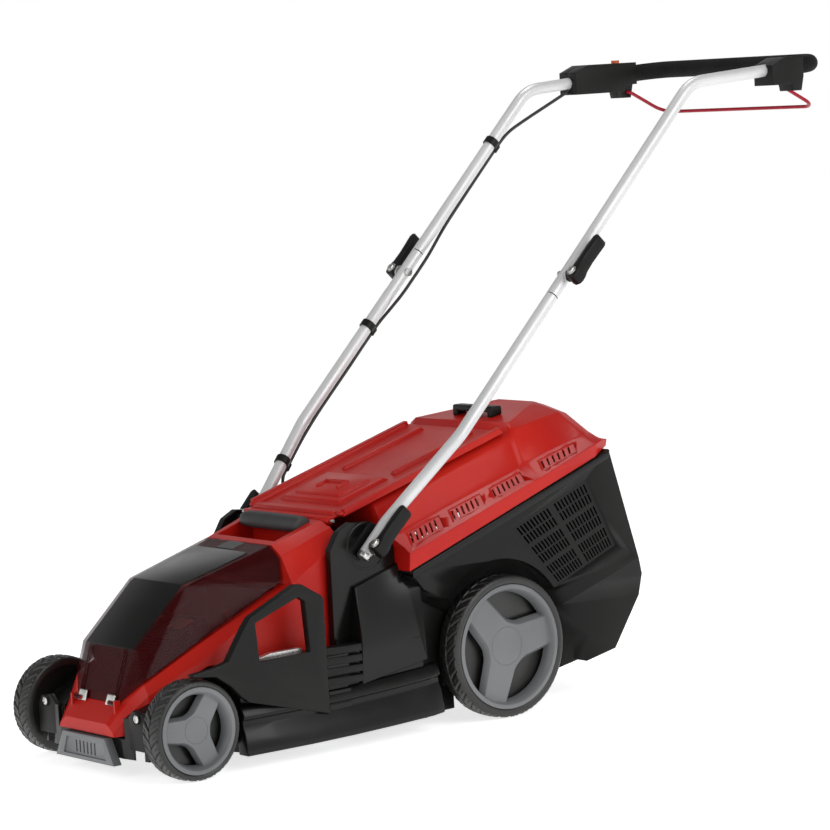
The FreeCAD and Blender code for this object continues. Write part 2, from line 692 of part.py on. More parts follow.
boss_radius = 14.0
deck_shell = doc.addObject("Part::Feature", "deck_shell")
deck_shell.Shape = deck()
rack = Piece("height_rack")
rack.pad_x([(244.0, 62.0), (244.0, 148.0), (284.0, 148.0), (286.0, 54.0)], S.deck_half_width, 9.0)
rib_slot = rack.pocket_x([(243.0, 74.0), (243.0, 79.0), (288.0, 79.0), (288.0, 74.0)],
                         S.deck_half_width + 3.0, 8.0)
doc.recompute()
rib_slots = rack.body.newObject("PartDesign::LinearPattern", "rack_slots")
rib_slots.Originals = [rib_slot]
rib_slots.Direction = (rib_slot.Profile[0], ["V_Axis"])
rib_slots.Length = 60.0
rib_slots.Occurrences = 4
rack.body.Tip = rib_slots
node("deck_housing", fuse("deck_with_rack", [deck_shell, rack.body]))


# ---- battery bay under the clear lid ----------------------------------------------------------

def bay_spot(x, along, up):
    """A point on the sloped bay floor: across, along the slope and square to it."""
    angle = math.radians(S.bay_angle)
    return Vector(x, bay_floor_y + along * math.cos(angle) - up * math.sin(angle),
                  bay_floor_z + along * math.sin(angle) + up * math.cos(angle))


def on_bay_floor(thing, spot):
    thing.Placement = Placement(spot, Rotation(Vector(1, 0, 0), S.bay_angle))


def battery_tray():
    wall = S.hood_wall
    front, rear = -24.0, 224.0
    top = [(rear, 242), (74, 170), (0, 136), (front, 110)]
    outside = [(front, floor_of_bay(front) - wall), (rear, floor_of_bay(rear) - wall)] + top
    inside = [(front + wall, floor_of_bay(front + wall)), (rear - wall, floor_of_bay(rear - wall)),
              (rear - wall, 300), (front + wall, 300)]
    half = S.battery_gap / 2 + S.battery_width + S.tray_margin
    return prism_x(outside, -half, half).cut(prism_x(inside, wall - half, half - wall))


feature("battery_tray", battery_tray())

battery_start = 47.0
button_size = (36.0, 28.0)
for side, hand in ((1, "left"), (-1, "right")):
    case = block(f"battery_{hand}_case", (0.0, 0.0, 0.0),
                 (S.battery_width, S.battery_length, S.battery_height))
    corner_x = side * (S.battery_gap + S.battery_width) / 2 - S.battery_width / 2
    button_x = S.battery_width / 2 - button_size[0] / 2
    button_y = S.battery_length - button_size[1] - 10.0
    pocket = block(f"battery_{hand}_pocket", (button_x, button_y, S.battery_height - 6.0),
                   (*button_size, 7.0))
    pack = cut(f"battery_pack_{hand}", case, pocket)
    on_bay_floor(pack, bay_spot(corner_x, battery_start, 0.4))
    node(f"battery_pack_{hand}", pack)
    button = block(f"battery_button_{hand}", (0.0, 0.0, 0.0),
                   (button_size[0] - 2 * S.part_gap, button_size[1] - 2 * S.part_gap, 4.0))
    for axis in "xyz":
        button.setExpression(f"Placement.Base.{axis}", None)
    on_bay_floor(button, bay_spot(corner_x + button_x + S.part_gap,
                                  battery_start + button_y + S.part_gap,
                                  0.4 + S.battery_height - 2.4))
    node(f"battery_button_{hand}", button)

key = block("safety_key", (0.0, 0.0, 0.0), (16.0, 8.0, 24.0))
on_bay_floor(key, bay_spot(-8.0, 243.0, 0.4))
node("safety_key", key)
node("controller", block("controller", (-55.0, 62.0, S.deck_top + S.part_gap), (110.0, 92.0, 26.0)))

LID = {"front": (54.0, -44.0, 106.6), "brow": (73.5, -17.0, 186.0), "crown": (76.0, 76.0, 269.0),
       "back": (84.0, 228.0, 311.0), "shoulder": (107.0, 228.0, 293.0), "heel": (111.0, 224.0, 258.0),
       "sill": (92.0, -20.0, 139.5)}


def faceted(corners, faces):
    """A closed solid from named corners; four-cornered faces are split where they are not flat."""
    made = []
    for names in faces:
        for index in range(1, len(names) - 1):
            three = [Vector(*corners[n]) for n in (names[0], names[index], names[index + 1])]
            made.append(Part.Face(Part.makePolygon(three + three[:1])))
    return Part.makeSolid(Part.makeShell(made))


def lid_solid(wall):
    """The lid's outside, or its hollow when wall is more than 0."""
    shift = {"front": (-1, 1, -3), "brow": (-1, 1, -0.6), "crown": (-1, 0, -1), "back": (-1, -1, -1),
             "shoulder": (-1.2, -1, -0.6), "heel": (-1.2, -1, -3), "sill": (-1.2, 0, -3)}
    corners = {}
    for name, (x, y, z) in LID.items():
        dx, dy, dz = shift[name]
        spot = (x + dx * wall, y + dy * wall, z + dz * wall)
        corners[name] = spot
        corners[name + "*"] = (-spot[0], spot[1], spot[2])
    order = ["front", "brow", "crown", "back", "shoulder", "heel", "sill"]
    side = [["sill", "brow", "front"], ["sill", "crown", "brow"], ["heel", "crown", "sill"],
            ["shoulder", "crown", "heel"], ["shoulder", "back", "crown"]]
    faces = side + [[name + "*" for name in reversed(face)] for face in side]
    for first, second in zip(order, order[1:] + order[:1]):
        faces.append([first, second, second + "*", first + "*"])
    return faceted(corners, faces)


def battery_lid():
    lid = lid_solid(0.0).cut(lid_solid(S.hood_wall))
    y, z = lid_axis
    barrel = bar_x(lid_barrel_x, 54, y, z, 4.0).fuse(slab(lid_barrel_x, 54, y, y + 6.5, z, z + 3.5))
    lid = lid.fuse(pair(barrel))
    lid = lid.cut(bar_x(-60, 60, y, z, hinge_radius + S.running_gap))
    latch_seat = prism_x([(201, 300), (232, 300), (232, 330), (201, 330)], -23, 23)
    return one_solid(lid.cut(latch_seat))


feature("battery_lid", battery_lid())
feature("lid_latch", prism_x([(202, 300.5), (228, 307.5), (228, 311), (202, 304)], -22, 22))


# ---- bumper -----------------------------------------------------------------------------------

bumper = Piece("front_bumper")
face_sketch = bumper.sketch("XZ_Plane", [(-79.0, 20.0), (79.0, 20.0), (57.0, 59.0), (-57.0, 59.0)], 60.4)
bumper.grow("Pad", face_sketch, 14.0)
panel_sketch = bumper.sketch("XZ_Plane", [(-58.0, 26.0), (58.0, 26.0), (47.0, 52.0), (-47.0, 52.0)], 74.4)
bumper.grow("Pocket", panel_sketch, 3.0)
slot_sketch = bumper.sketch("XZ_Plane", [(-27.0, 30.0), (-23.0, 30.0), (-23.0, 48.0), (-27.0, 48.0)], 72.0)
slot = bumper.grow("Pocket", slot_sketch, 6.0)
doc.recompute()
slots = bumper.body.newObject("PartDesign::LinearPattern", "bumper_slots")
slots.Originals = [slot]
slots.Direction = (slot_sketch, ["H_Axis"])
slots.Length = 50.0
slots.Occurrences = 6
bumper.body.Tip = slots
bumper.done()


# ---- side grip and height release -------------------------------------------------------------

grip_width = S.panel_outer - S.panel_inner
side_grip = Piece("grip_plate")
side_grip.pad_x([(-4.0, 154.5), (-4.0, 158.0), (36.0, 162.0), (60.0, 168.0), (92.0, 214.0),
                 (104.0, 228.0), (190.0, 265.0), (202.0, 264.0), (238.0, 242.0), (241.0, 236.0),
                 (240.0, 62.0), (95.0, 102.0), (82.0, 112.0), (62.0, 132.0), (38.0, 149.0)],
                S.panel_inner, grip_width)
side_grip.pocket_x([(117.0, 160.0), (113.0, 218.0), (194.0, 246.0), (206.0, 238.0), (211.0, 161.0)],
                   S.panel_inner - 1.0, grip_width + 2.0)

lever_axis = (129.0, 156.5)
lever_x = S.panel_inner - 13.0
release_pin = rod_x("release_pin", lever_x - 2.0, 15.0, *lever_axis, hinge_radius)
node("height_grip", fuse("height_grip_with_pin", [side_grip.body, release_pin]))
release_lever = Piece("height_release_lever")
release_lever.pad_x([(124.0, 152.0), (124.0, 161.0), (150.0, 166.0), (206.0, 166.0), (208.0, 160.0),
                     (152.0, 158.0), (134.0, 152.0)], lever_x, 10.0)
bore = hinge_radius + S.running_gap
doc.recompute()
lever_bore = release_lever.body.newObject("PartDesign::SubtractiveCylinder", "release_lever_bore")
lever_bore.AttachmentSupport = [(release_lever.plane("YZ_Plane"), "")]
lever_bore.MapMode = "FlatFace"
lever_bore.AttachmentOffset = Placement(Vector(*lever_axis, lever_x - 1.0), Rotation())
bind(lever_bore, "AttachmentOffset.Base.z", lever_x - 1.0)
lever_bore.Radius, lever_bore.Height = bore, 12.0
bind(lever_bore, "Radius", bore)
release_lever.done()


# ---- motor and blade --------------------------------------------------------------------------

shaft_radius = S.shaft_diameter / 2
motor_base = S.deck_top + S.part_gap
motor_top = motor_base + S.motor_height
housing = Piece("motor_housing")
shaft_bore = shaft_radius + S.running_gap
housing.turn("XZ_Plane", [(S.motor_radius, motor_base), (S.motor_radius, motor_top - 4.0),
                          (S.motor_radius - 4.0, motor_top), (0.0, motor_top),
                          (0.0, motor_top - 3.0), (S.motor_radius - 3.0, motor_top - 3.0),
                          (S.motor_radius - 3.0, motor_base + 3.0), (shaft_bore, motor_base + 3.0),
                          (shaft_bore, motor_base - 8.0), (boss_radius, motor_base - 8.0),
                          (boss_radius, motor_base)], "V_Axis")
housing.done(S.spindle_y)
blade_top = S.blade_bottom + S.blade_thickness
bolt_hole = bolt_radius + 0.1
rotor = Piece("motor_rotor")
rotor.turn("XZ_Plane", [(bolt_hole, blade_top + 8.0), (shaft_radius, blade_top + 8.0),
                        (shaft_radius, motor_base + 6.0), (S.motor_radius - 19.0, motor_base + 6.0),
                        (S.motor_radius - 19.0, motor_top - 8.0), (0.0, motor_top - 8.0),
                        (0.0, blade_top + 30.0), (bolt_hole, blade_top + 30.0)], "V_Axis")
rotor.done(S.spindle_y)
carrier = Piece("blade_carrier")
carrier.turn("XZ_Plane", [(bolt_hole, blade_top), (44.0, blade_top), (44.0, blade_top + 5.0),
                          (15.0, blade_top + 9.0), (13.0, blade_top + 34.0),
                          (shaft_radius, blade_top + 34.0), (shaft_radius, blade_top + 8.0),
                          (bolt_hole, blade_top + 8.0)], "V_Axis")
carrier.done(S.spindle_y)

half_blade, half_chord = S.blade_length / 2, S.blade_width / 2
blade = Piece("blade")
blade.pad_z([(half_blade - 8.0, -half_chord), (half_blade, 8.0 - half_chord), (half_blade, 0.0),
             (half_blade - 60.0, half_chord), (8.0 - half_blade, half_chord),
             (-half_blade, half_chord - 8.0), (-half_blade, 0.0), (60.0 - half_blade, -half_chord)],
            S.blade_bottom, S.blade_thickness)
blade_hole = blade.sketch("XY_Plane", [(-bolt_hole, -bolt_hole), (bolt_hole, -bolt_hole),
                                       (bolt_hole, bolt_hole), (-bolt_hole, bolt_hole)], S.blade_bottom - 1.0)
blade.grow("Pocket", blade_hole, S.blade_thickness + 2.0).Reversed = True
blade.done(S.spindle_y)
bolt_head = doc.addObject("Part::Prism", "blade_bolt_head")
bolt_head.Polygon, bolt_head.Circumradius, bolt_head.Height = 6, 11.0, 7.0
bolt_head.Placement = Placement(Vector(0, S.spindle_y, S.blade_bottom - 7.0), Rotation())
bind(bolt_head, "Placement.Base.y", S.spindle_y)
bind(bolt_head, "Placement.Base.z", S.blade_bottom - 7.0)
bolt_shank = rod_z("blade_bolt_shank", 0.0, S.spindle_y, S.blade_bottom, S.blade_thickness + 28.0,
                   bolt_radius)
node("blade_bolt", fuse("blade_bolt", [bolt_head, bolt_shank]))


# ---- rear flap --------------------------------------------------------------------------------

def rear_flap():
    """Drawn flat from its hinge axis, then tilted to its slope."""
    half, length, thick = S.flap_half_width, S.flap_length, S.flap_thickness
    plate = slab(-half, half, 18, length, 0, thick)
    web = slab(-111, 111, 2, 20, 0, thick)
    barrel = bar_x(-111, 111, 0, 0, 5.5)
    rims = pair(slab(half - 10, half, 22, length - 4, thick - 1, thick + 7))
    flap = plate.fuse([web, barrel, rims])
    flap = flap.cut(bar_x(-120, 120, 0, 0, hinge_radius + S.running_gap))
    flap.rotate(Vector(0, 0, 0), Vector(1, 0, 0), S.flap_slope)
    flap.translate(Vector(0, S.flap_y, S.flap_z))
    return one_solid(flap)


feature("rear_flap", rear_flap())
node("flap_hinge_pin", rod_x("flap_hinge_pin", -119.0, 238.0, S.flap_y, S.flap_z, hinge_radius))


# ---- grass box --------------------------------------------------------------------------------

def box_edge(y):
    """Height of the seam between the grass box's lid and body."""
    return 254.0 + (y - 413.0) * 0.342


def lid_sections():
    half = S.box_half_width
    front, flap_end = 400.0, S.flap_y + S.flap_length * math.cos(math.radians(S.flap_slope)) + 4.0
    made = []
    for y in (front, flap_end):
        top = under_flap(y) - 2.0
        made.append((y, [(half - 3, box_edge(y)), (half, box_edge(y) + 28 - (y - front) * 0.02),
                         (152, 306 + (y - front) * 0.275), (132, top - 8), (120, top)]))
    for y, rise, spots in ((flap_end + 10, 0, [(152, 388), (131, 441), (118, 449)]),
                           (800.0, 18, [(164, 422), (104, 456), (44, 470)]),
                           (822.0, 14, [(150, 424), (98, 451), (44, 463)]),
                           (838.0, 8, [(140, 412), (92, 424), (44, 430)])):
        narrow = max(0.0, y - 800.0) * 0.42
        made.append((y, [(half - 3 - narrow, box_edge(y)), (half - narrow, box_edge(y) + rise + 3)]
                     + spots))
    made[2] = (made[2][0], [(half - 3, box_edge(flap_end + 10)), (half, box_edge(flap_end + 10) + 21)]
               + made[2][1][2:])
    return made


def box_inlet():
    """The way in for the cut grass."""
    return slab(-105, 105, 395, 470, 188, 300)


def box_lid_outside():
    return loft_y(lid_sections())


def grass_box_lid():
    wall = S.box_wall
    sections = lid_sections()
    inner = [(sections[0][0] + wall, sections[0][1])] + sections[1:-1]
    inner += [(sections[-1][0] - wall, sections[-1][1])]
    front = [(390, 240), (413, 240), (413, 290), (399, 325), (399, 370), (390, 370)]
    inner_front = [(y + wall, z) for y, z in front]
    shell = box_lid_outside().cut(prism_x(front, -200, 200))
    hollow = loft_y(grown(inner, -wall, 2.0)).cut(prism_x(inner_front, -200, 200))
    return one_solid(shell.cut(hollow).cut(box_inlet()))


feature("grass_box_lid", grass_box_lid())


def inset(points, distance):
    """The outline moved inwards by distance; its points run anticlockwise."""
    made = []
    for before, spot, after in zip(points[-1:] + points[:-1], points, points[1:] + points[:1]):
        (ax, ay), (bx, by) = [(q[0] - p[0], q[1] - p[1]) for p, q in ((before, spot), (spot, after))]
        la, lb = math.hypot(ax, ay), math.hypot(bx, by)
        na, nb = (-ay / la, ax / la), (-by / lb, bx / lb)
        share = distance / (1 + na[0] * nb[0] + na[1] * nb[1])
        made.append((spot[0] + (na[0] + nb[0]) * share, spot[1] + (na[1] + nb[1]) * share))
    return made


def grass_box_body():
    wall, half, low_half = S.box_wall, S.box_half_width - 6, S.box_lower_half_width
    wheel_y = float(S.wheelbase)
    arch = rear_radius + 24.0
    seam = 2.0
    rear = [(825, 73), (881, 152), (890, 186), (885, 212), (832, box_edge(832) - seam),
            (416, box_edge(416) - seam)]
    outer = [(441, 222), (470, 206), (wheel_y, 158), (701, 170), (766, 106), (763, 61)] + rear
    middle = [(441, 222), (446, 172), (676, 168), (697, 120), (716, 50), (763, 58)] + rear
    pod = prism_x(outer, low_half - 3, half)
    pod = pod.cut(bar_x(low_half, half + 1, wheel_y, rear_radius, arch))
    body = prism_x(middle, -low_half, low_half).fuse(pair(pod))
    hollow = prism_x(inset(middle, wall), wall - low_half, low_half - wall)
    pod_hollow = prism_x(inset(outer, wall), low_half - 10, half - wall)
    pod_hollow = pod_hollow.cut(bar_x(low_half - 11, half + 1, wheel_y, rear_radius, arch + wall))
    body = body.cut(hollow).cut(pod_hollow).cut(mirrored(pod_hollow))
    mouth = [(420, box_edge(420) - 12), (827, box_edge(827) - 12), (827, 420), (420, 300)]
    body = body.cut(prism_x(mouth, wall - half, half - wall))
    return one_solid(body.cut(box_inlet()).removeSplitter())


feature("grass_box_body", grass_box_body())


def grass_box_handle():
    y, low = 717.0, 440.0
    bar = slab(-50, 50, y - 11, y + 11, low, 471).cut(slab(-38, 38, y - 12, y + 12, low - 1, 461))
    uprights = bar.makeFillet(4.0, [edge for edge in bar.Edges if edge.Length > 90.0])
    return uprights.cut(box_lid_outside())


feature("grass_box_handle", grass_box_handle())


# ---- handle tubes -----------------------------------------------------------------------------

pivot = Vector(S.pivot_x, S.pivot_y, S.pivot_z)
splay = Vector(S.upper_x, S.splay_y, S.splay_z)
joint = Vector(S.upper_x, S.joint_y, S.joint_z)
top_bend = Vector(S.upper_x, S.top_bend_y, S.top_bend_z)
grip_corner = Vector(S.upper_x, S.grip_y, S.grip_z)
foot_way = Vector(0, splay.y - pivot.y, splay.z - pivot.z).normalize()
foot = pivot + foot_way * 48
upper_way = (top_bend - joint).normalize()
lap_way = Vector(0, upper_way.y, upper_way.z).normalize()
tail = S.lap - 2.0
lower_end = joint + lap_way * tail
lower_way = (lower_end - splay).normalize()


def other_side(spot):
    return Vector(-spot.x, spot.y, spot.z)


def hollow_tube(points, radius):
    wire = path(points, radius)
    return rod_along(wire, tube_radius).cut(rod_along(wire, tube_radius - S.tube_wall))


def lap_cutter(x_start, x_end, reach):
    """Removes one half of a tube's round section along the lap."""
    cutter = slab(x_start, x_end, -reach, reach, -15, 15)
    cutter.rotate(Vector(0, 0, 0), Vector(1, 0, 0), math.degrees(math.atan2(lap_way.z, lap_way.y)))
    cutter.translate(Vector(0, joint.y, joint.z))
    return cutter


def cross_hole(spot, radius):
    return bar_x(spot.x - 30, spot.x + 30, spot.y, spot.z, radius)


def lower_tube():
    tube = hollow_tube([pivot - foot_way * 20, foot, splay, lower_end], [60.0, 90.0])
    tube = tube.cut(lap_cutter(joint.x - 0.3, joint.x + 20, S.lap))
    tube = tube.cut(cross_hole(pivot, bolt_radius + S.running_gap))
    return one_solid(tube.cut(cross_hole(joint, bolt_radius + S.running_gap)))


lower_left = lower_tube()
feature("lower_tube_left", lower_left)
feature("lower_tube_right", mirrored(lower_left))


def upper_tube():
    right_end = joint - lap_way * tail
    corners = [right_end, top_bend, grip_corner, other_side(grip_corner), other_side(top_bend),
               other_side(right_end)]
    tube = hollow_tube(corners, [70.0, 45.0, 45.0, 70.0])
    inner_half = lap_cutter(joint.x - 20, joint.x + 0.3, S.lap)
    hole = cross_hole(joint, bolt_radius + S.running_gap)
    for tool in (inner_half, hole):
        tube = tube.cut(tool).cut(mirrored(tool))
    return one_solid(tube)


feature("upper_handle_tube", upper_tube())
level_way = (grip_corner - top_bend).normalize()


def on_level_run(y):
    """Height of the handle's upper run at y."""
    return S.top_bend_z + (y - S.top_bend_y) * level_way.z / level_way.y


foam_start = Vector(S.upper_x, 1269.0, on_level_run(1269.0))
foam_path = path([foam_start, grip_corner, other_side(grip_corner), other_side(foam_start)], 45.0)
foam = rod_along(foam_path, S.foam_diameter / 2).cut(rod_along(foam_path, tube_radius + S.running_gap))
feature("foam_grip", foam)


# ---- clamps -----------------------------------------------------------------------------------

washer_gap = 0.3
hub_radius = 12.0
washer_thickness = 1.7
hub_offset = tube_radius + washer_gap + washer_thickness + washer_gap + hub_radius


def cross_bolt(spot, head_x, way):
    """A bolt along X that ends in the barrel about which its cam lever swings."""
    hub_x = spot.x + hub_offset
    barrel = Part.makeCylinder(6.0, 26.0, Vector(hub_x, spot.y, spot.z) - way * 13, way)
    shank = bar_x(head_x, hub_x, spot.y, spot.z, bolt_radius)
    head = bar_x(head_x - 3, head_x, spot.y, spot.z, 7.0)
    return shank.fuse([barrel, head])


def across(way):
    """The direction square to way in the mower's side view."""
    return Vector(0, -way.z, way.y)


pivot_bolt = cross_bolt(pivot, tower_face - 12.0, across(foot_way))
joint_bolt = cross_bolt(joint, joint.x - tube_radius - 0.1, across(lap_way))
feature("handle_bolts", Part.makeCompound([shape for bolt in (pivot_bolt, joint_bolt)
                                           for shape in (bolt, mirrored(bolt))]))
washers = []
for name, spot in (("pivot", pivot), ("joint", joint)):
    start = spot.x + tube_radius + washer_gap
    y, z = (S.pivot_y, S.pivot_z) if name == "pivot" else (S.joint_y, S.joint_z)
    hole = bolt_radius + S.running_gap
    washers.append(ring_x(f"{name}_left_washer", start, washer_thickness, y, z, 11.0, hole))
    washers.append(ring_x(f"{name}_right_washer", -start - washer_thickness, washer_thickness,
                          y, z, 11.0, hole))
node("cam_washers", fuse("cam_washers", washers))


def cam_lever(spot, way):
    """A forked lever drawn along +Y about its barrel, then turned to lie along its tube."""
    hub = Part.makeCylinder(hub_radius, 28.0, Vector(0, 0, -14.0), Vector(0, 0, 1))
    arm = slab(-5, 7, 4, 66, -11, 11).fuse(Part.makeCylinder(11.0, 12.0, Vector(-5, 66, 0), Vector(1, 0, 0)))
    lever = hub.fuse(arm).cut(slab(-14, 14, -14, hub_radius + 0.8, -5, 5))
    lever = lever.cut(Part.makeCylinder(6.0 + S.running_gap, 40.0, Vector(0, 0, -20.0), Vector(0, 0, 1)))
    lever.rotate(Vector(0, 0, 0), Vector(1, 0, 0), math.degrees(math.atan2(way.z, way.y)))
    lever.translate(Vector(spot.x + hub_offset, spot.y, spot.z))
    return one_solid(lever)


for name, spot, way in (("pivot", pivot, foot_way), ("joint", joint, lap_way)):
    lever = cam_lever(spot, way)
    feature(f"{name}_cam_lever_left", lever)
    feature(f"{name}_cam_lever_right", mirrored(lever))


# ---- switch, bail and its clip ----------------------------------------------------------------

def bail():
    pivot_end = Vector(S.upper_x + 4, S.bail_pivot_y, S.bail_pivot_z)
    elbow = Vector(S.bail_x, S.bail_pivot_y, S.bail_pivot_z)
    corner = Vector(S.bail_x, S.bail_bar_y, S.bail_bar_z)
    right = [pivot_end, elbow, corner]
    wire = path(right + [other_side(spot) for spot in reversed(right)], [6.0, 25.0, 25.0, 6.0])
    return rod_along(wire, S.bail_diameter / 2)


feature("bail", bail())
half_box = 22.0
tube_hole = rod_along(Part.Wire(Part.LineSegment(
    Vector(S.upper_x, 1060, on_level_run(1060)), Vector(S.upper_x, 1300, on_level_run(1300))).toShape()),
    tube_radius + S.running_gap)
bail_hole = bar_x(S.bail_x, S.upper_x + 5, S.bail_pivot_y, S.bail_pivot_z,
                  S.bail_diameter / 2 + S.running_gap)
lug_inner = S.bail_x + 7.0


def clamp_box(start, top):
    """Housing round the tube, with a lug below it for the bail's end."""
    y, z = S.bail_pivot_y, S.bail_pivot_z
    low = z + 13
    outline = [(start, low - 12), (y - 14, low - 12), (y - 12, low), (y + 15, low), (y + 15, top),
               (start + 30, top), (start, top - 12)]
    box = prism_x(outline, S.upper_x - half_box, S.upper_x + half_box)
    lug = prism_x([(y - 15, low + 1), (y - 9, z - 10), (y + 9, z - 10), (y + 15, low + 1)],
                  lug_inner, S.upper_x + half_box)
    return box.fuse(lug).cut(tube_hole).cut(bail_hole)


feature("bail_clip", one_solid(clamp_box(1196.0, 1003.0)))
button_spot = (-S.upper_x, 1238.0)
housing_box = mirrored(clamp_box(1267.0 - S.switch_length + 40.0, 1008.0))
button_pit = Part.makeCylinder(S.button_radius + 0.3, 30.0, Vector(*button_spot, 997.0))
housing_box = housing_box.cut(button_pit)
inner_side = slab(-S.upper_x + 0.02, 0, 1000, 1400, 900, 1100)
outer_side = slab(-300, -S.upper_x - 0.02, 1000, 1400, 900, 1100)
feature("switch_housing_inner", one_solid(housing_box.common(inner_side)))
feature("switch_housing_outer", one_solid(housing_box.common(outer_side)))
node("lock_off_button", rod_z("lock_off_button", *button_spot, 1001.5, 11.5, S.button_radius))


# ---- cable ------------------------------------------------------------------------------------

def cable(points):
    """A cable along its route, each bend as large as its two runs allow."""
    radii = []
    for before, spot, after in zip(points, points[1:], points[2:]):
        inward, outward = Vector(*before) - Vector(*spot), Vector(*after) - Vector(*spot)
        half_turn = (math.pi - inward.getAngle(outward)) / 2
        radii.append(0.45 * min(inward.Length, outward.Length) / math.tan(half_turn))
    print("cable radii", [round(radius) for radius in radii])
    return rod_along(path(points, radii), S.cable_diameter / 2)


def beside(start, way, reach, inner, below):
    """A place beside the right tube: reach along its run, inwards, and behind the tube's face."""
    half_below = (tube_radius + below) / math.sqrt(2)
    return other_side(start + way * reach) + Vector(inner, half_below, -half_below)


splay_way = (splay - foot).normalize()
joint_reach = (joint - splay).Length
clip_gap = 4.0
CABLE_UPPER = [beside(joint, upper_way, 0.2, 22.0, -2.0), beside(joint, upper_way, 38.0, 20.0, -1.0),
               beside(joint, upper_way, 66.0, 13.0, 1.4), beside(joint, upper_way, 110.0, 2.5, 4.0),
               beside(joint, upper_way, 176.0, 0.0, 4.6), beside(joint, upper_way, 250.0, 0.0, clip_gap),
               beside(joint, upper_way, 322.0, 0.0, clip_gap),
               (-206.0, 1029.0, 922.5), (-206.0, 1078.0, 943.6), (-206.0, 1125.4, 964.2)]
CABLE_LOWER = [beside(splay, lower_way, joint_reach - 0.2, 22.0, -2.0),
               beside(splay, lower_way, joint_reach - 38.0, 19.0, 0.0),
               beside(splay, lower_way, joint_reach - 72.0, 8.0, 2.8),
               beside(splay, lower_way, 226.0, 0.4, clip_gap),
               beside(splay, lower_way, 184.0, 0.0, clip_gap),
               beside(splay, lower_way, 130.0, 0.0, 4.7), beside(splay, lower_way, 76.0, 0.0, 4.2),
               beside(splay, lower_way, 26.0, 0.0, 4.4), beside(foot, splay_way, 158.0, 0.0, 4.5),
               beside(foot, splay_way, 118.0, 0.0, clip_gap), beside(foot, splay_way, 84.0, 0.0, clip_gap)]
CABLE_TAIL = [CABLE_LOWER[-1], beside(foot, splay_way, 76.0, 0.0, clip_gap), (-181.0, 450.5, 358.0),
              (-176.5, 444.0, 347.0), (-166.0, 425.0, 342.8), (-156.0, 404.0, 343.6),
              (-147.5, 384.0, 344.0), (-141.5, 366.0, 342.0), (-137.0, 354.0, 331.0),
              (-134.5, 350.5, 312.0), (-134.0, 351.0, 292.0)]
for name, route in (("cable_upper", CABLE_UPPER), ("cable_lower", CABLE_LOWER),
                    ("cable_tail", CABLE_TAIL)):
    feature(name, cable(route))


def cable_clip(spot, way):
    """A moulded clip round the right tube with a small eye for the cable."""
    centre = other_side(spot)
    way = other_side(way)
    start = centre - way * 6
    toward = Vector(0, (tube_radius + clip_gap) / math.sqrt(2), -(tube_radius + clip_gap) / math.sqrt(2))
    ring = Part.makeCylinder(tube_radius + 2.5, 12, start, way)
    eye = Part.makeCylinder(5.0, 12, start + toward, way)
    clip = ring.fuse(eye).cut(Part.makeCylinder(tube_radius + S.running_gap, 14, start - way, way))
    return clip.cut(Part.makeCylinder(S.cable_diameter / 2 + 0.3, 14, start + toward - way, way))


feature("cable_clip_upper", cable_clip(joint + upper_way * 287, upper_way))
feature("cable_clips_lower", Part.makeCompound([cable_clip(splay + lower_way * 206, lower_way),
                                                cable_clip(foot + splay_way * 97, splay_way)]))


# ---- check and write --------------------------------------------------------------------------

doc.recompute()
os.makedirs("parts", exist_ok=True)
for thing in doc.Objects:
    assert not {"Invalid", "Error"} & set(thing.State), f"{thing.Label} failed: {thing.State}"
for thing in NODES:
    shape = thing.Shape
    assert not shape.isNull() and shape.isValid(), f"{thing.Label} is not a valid shape"
    assert shape.Solids, f"{thing.Label} has no solid"
    shape.exportStep(f"parts/{thing.Label}.step")
print(len(NODES), "sub-parts written")
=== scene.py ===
import bpy
import bmesh
import math
from mathutils import Matrix, Vector


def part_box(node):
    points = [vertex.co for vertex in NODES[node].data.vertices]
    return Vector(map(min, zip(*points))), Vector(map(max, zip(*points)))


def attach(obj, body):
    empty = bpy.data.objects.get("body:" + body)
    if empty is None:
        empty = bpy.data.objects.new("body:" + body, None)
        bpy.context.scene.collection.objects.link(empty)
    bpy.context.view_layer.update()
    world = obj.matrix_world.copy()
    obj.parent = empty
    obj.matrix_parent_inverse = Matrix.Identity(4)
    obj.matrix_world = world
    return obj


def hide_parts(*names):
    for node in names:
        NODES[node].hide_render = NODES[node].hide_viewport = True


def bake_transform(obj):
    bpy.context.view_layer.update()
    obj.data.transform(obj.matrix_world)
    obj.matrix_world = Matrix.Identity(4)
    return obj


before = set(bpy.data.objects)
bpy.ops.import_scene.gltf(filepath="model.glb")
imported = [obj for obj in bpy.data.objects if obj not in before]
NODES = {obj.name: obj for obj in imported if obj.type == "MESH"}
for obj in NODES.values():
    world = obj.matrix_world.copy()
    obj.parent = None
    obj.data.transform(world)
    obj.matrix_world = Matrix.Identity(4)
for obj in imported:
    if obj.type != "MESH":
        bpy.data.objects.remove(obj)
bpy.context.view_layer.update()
MM = 0.001

# Places are written in millimetres with y from the front axle and z from the ground.
front_low, front_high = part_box("front_left_wheel")
FRONT_AXLE_Y = (front_low.y + front_high.y) / 2


def at(x, y, z):
    """A place in the row's frame, in metres."""
    return Vector((x * MM, y * MM + FRONT_AXLE_Y, z * MM))


# ---- camera, floor and light -------------------------------------------------------------------

CAMERA_SPOT = Vector((4.3019, -3.4104, 1.0223))
CAMERA_YAW, CAMERA_PITCH, CAMERA_ROLL = (math.radians(v) for v in (52.014, 5.797, -3.297))
CAMERA_LENS = 148.59


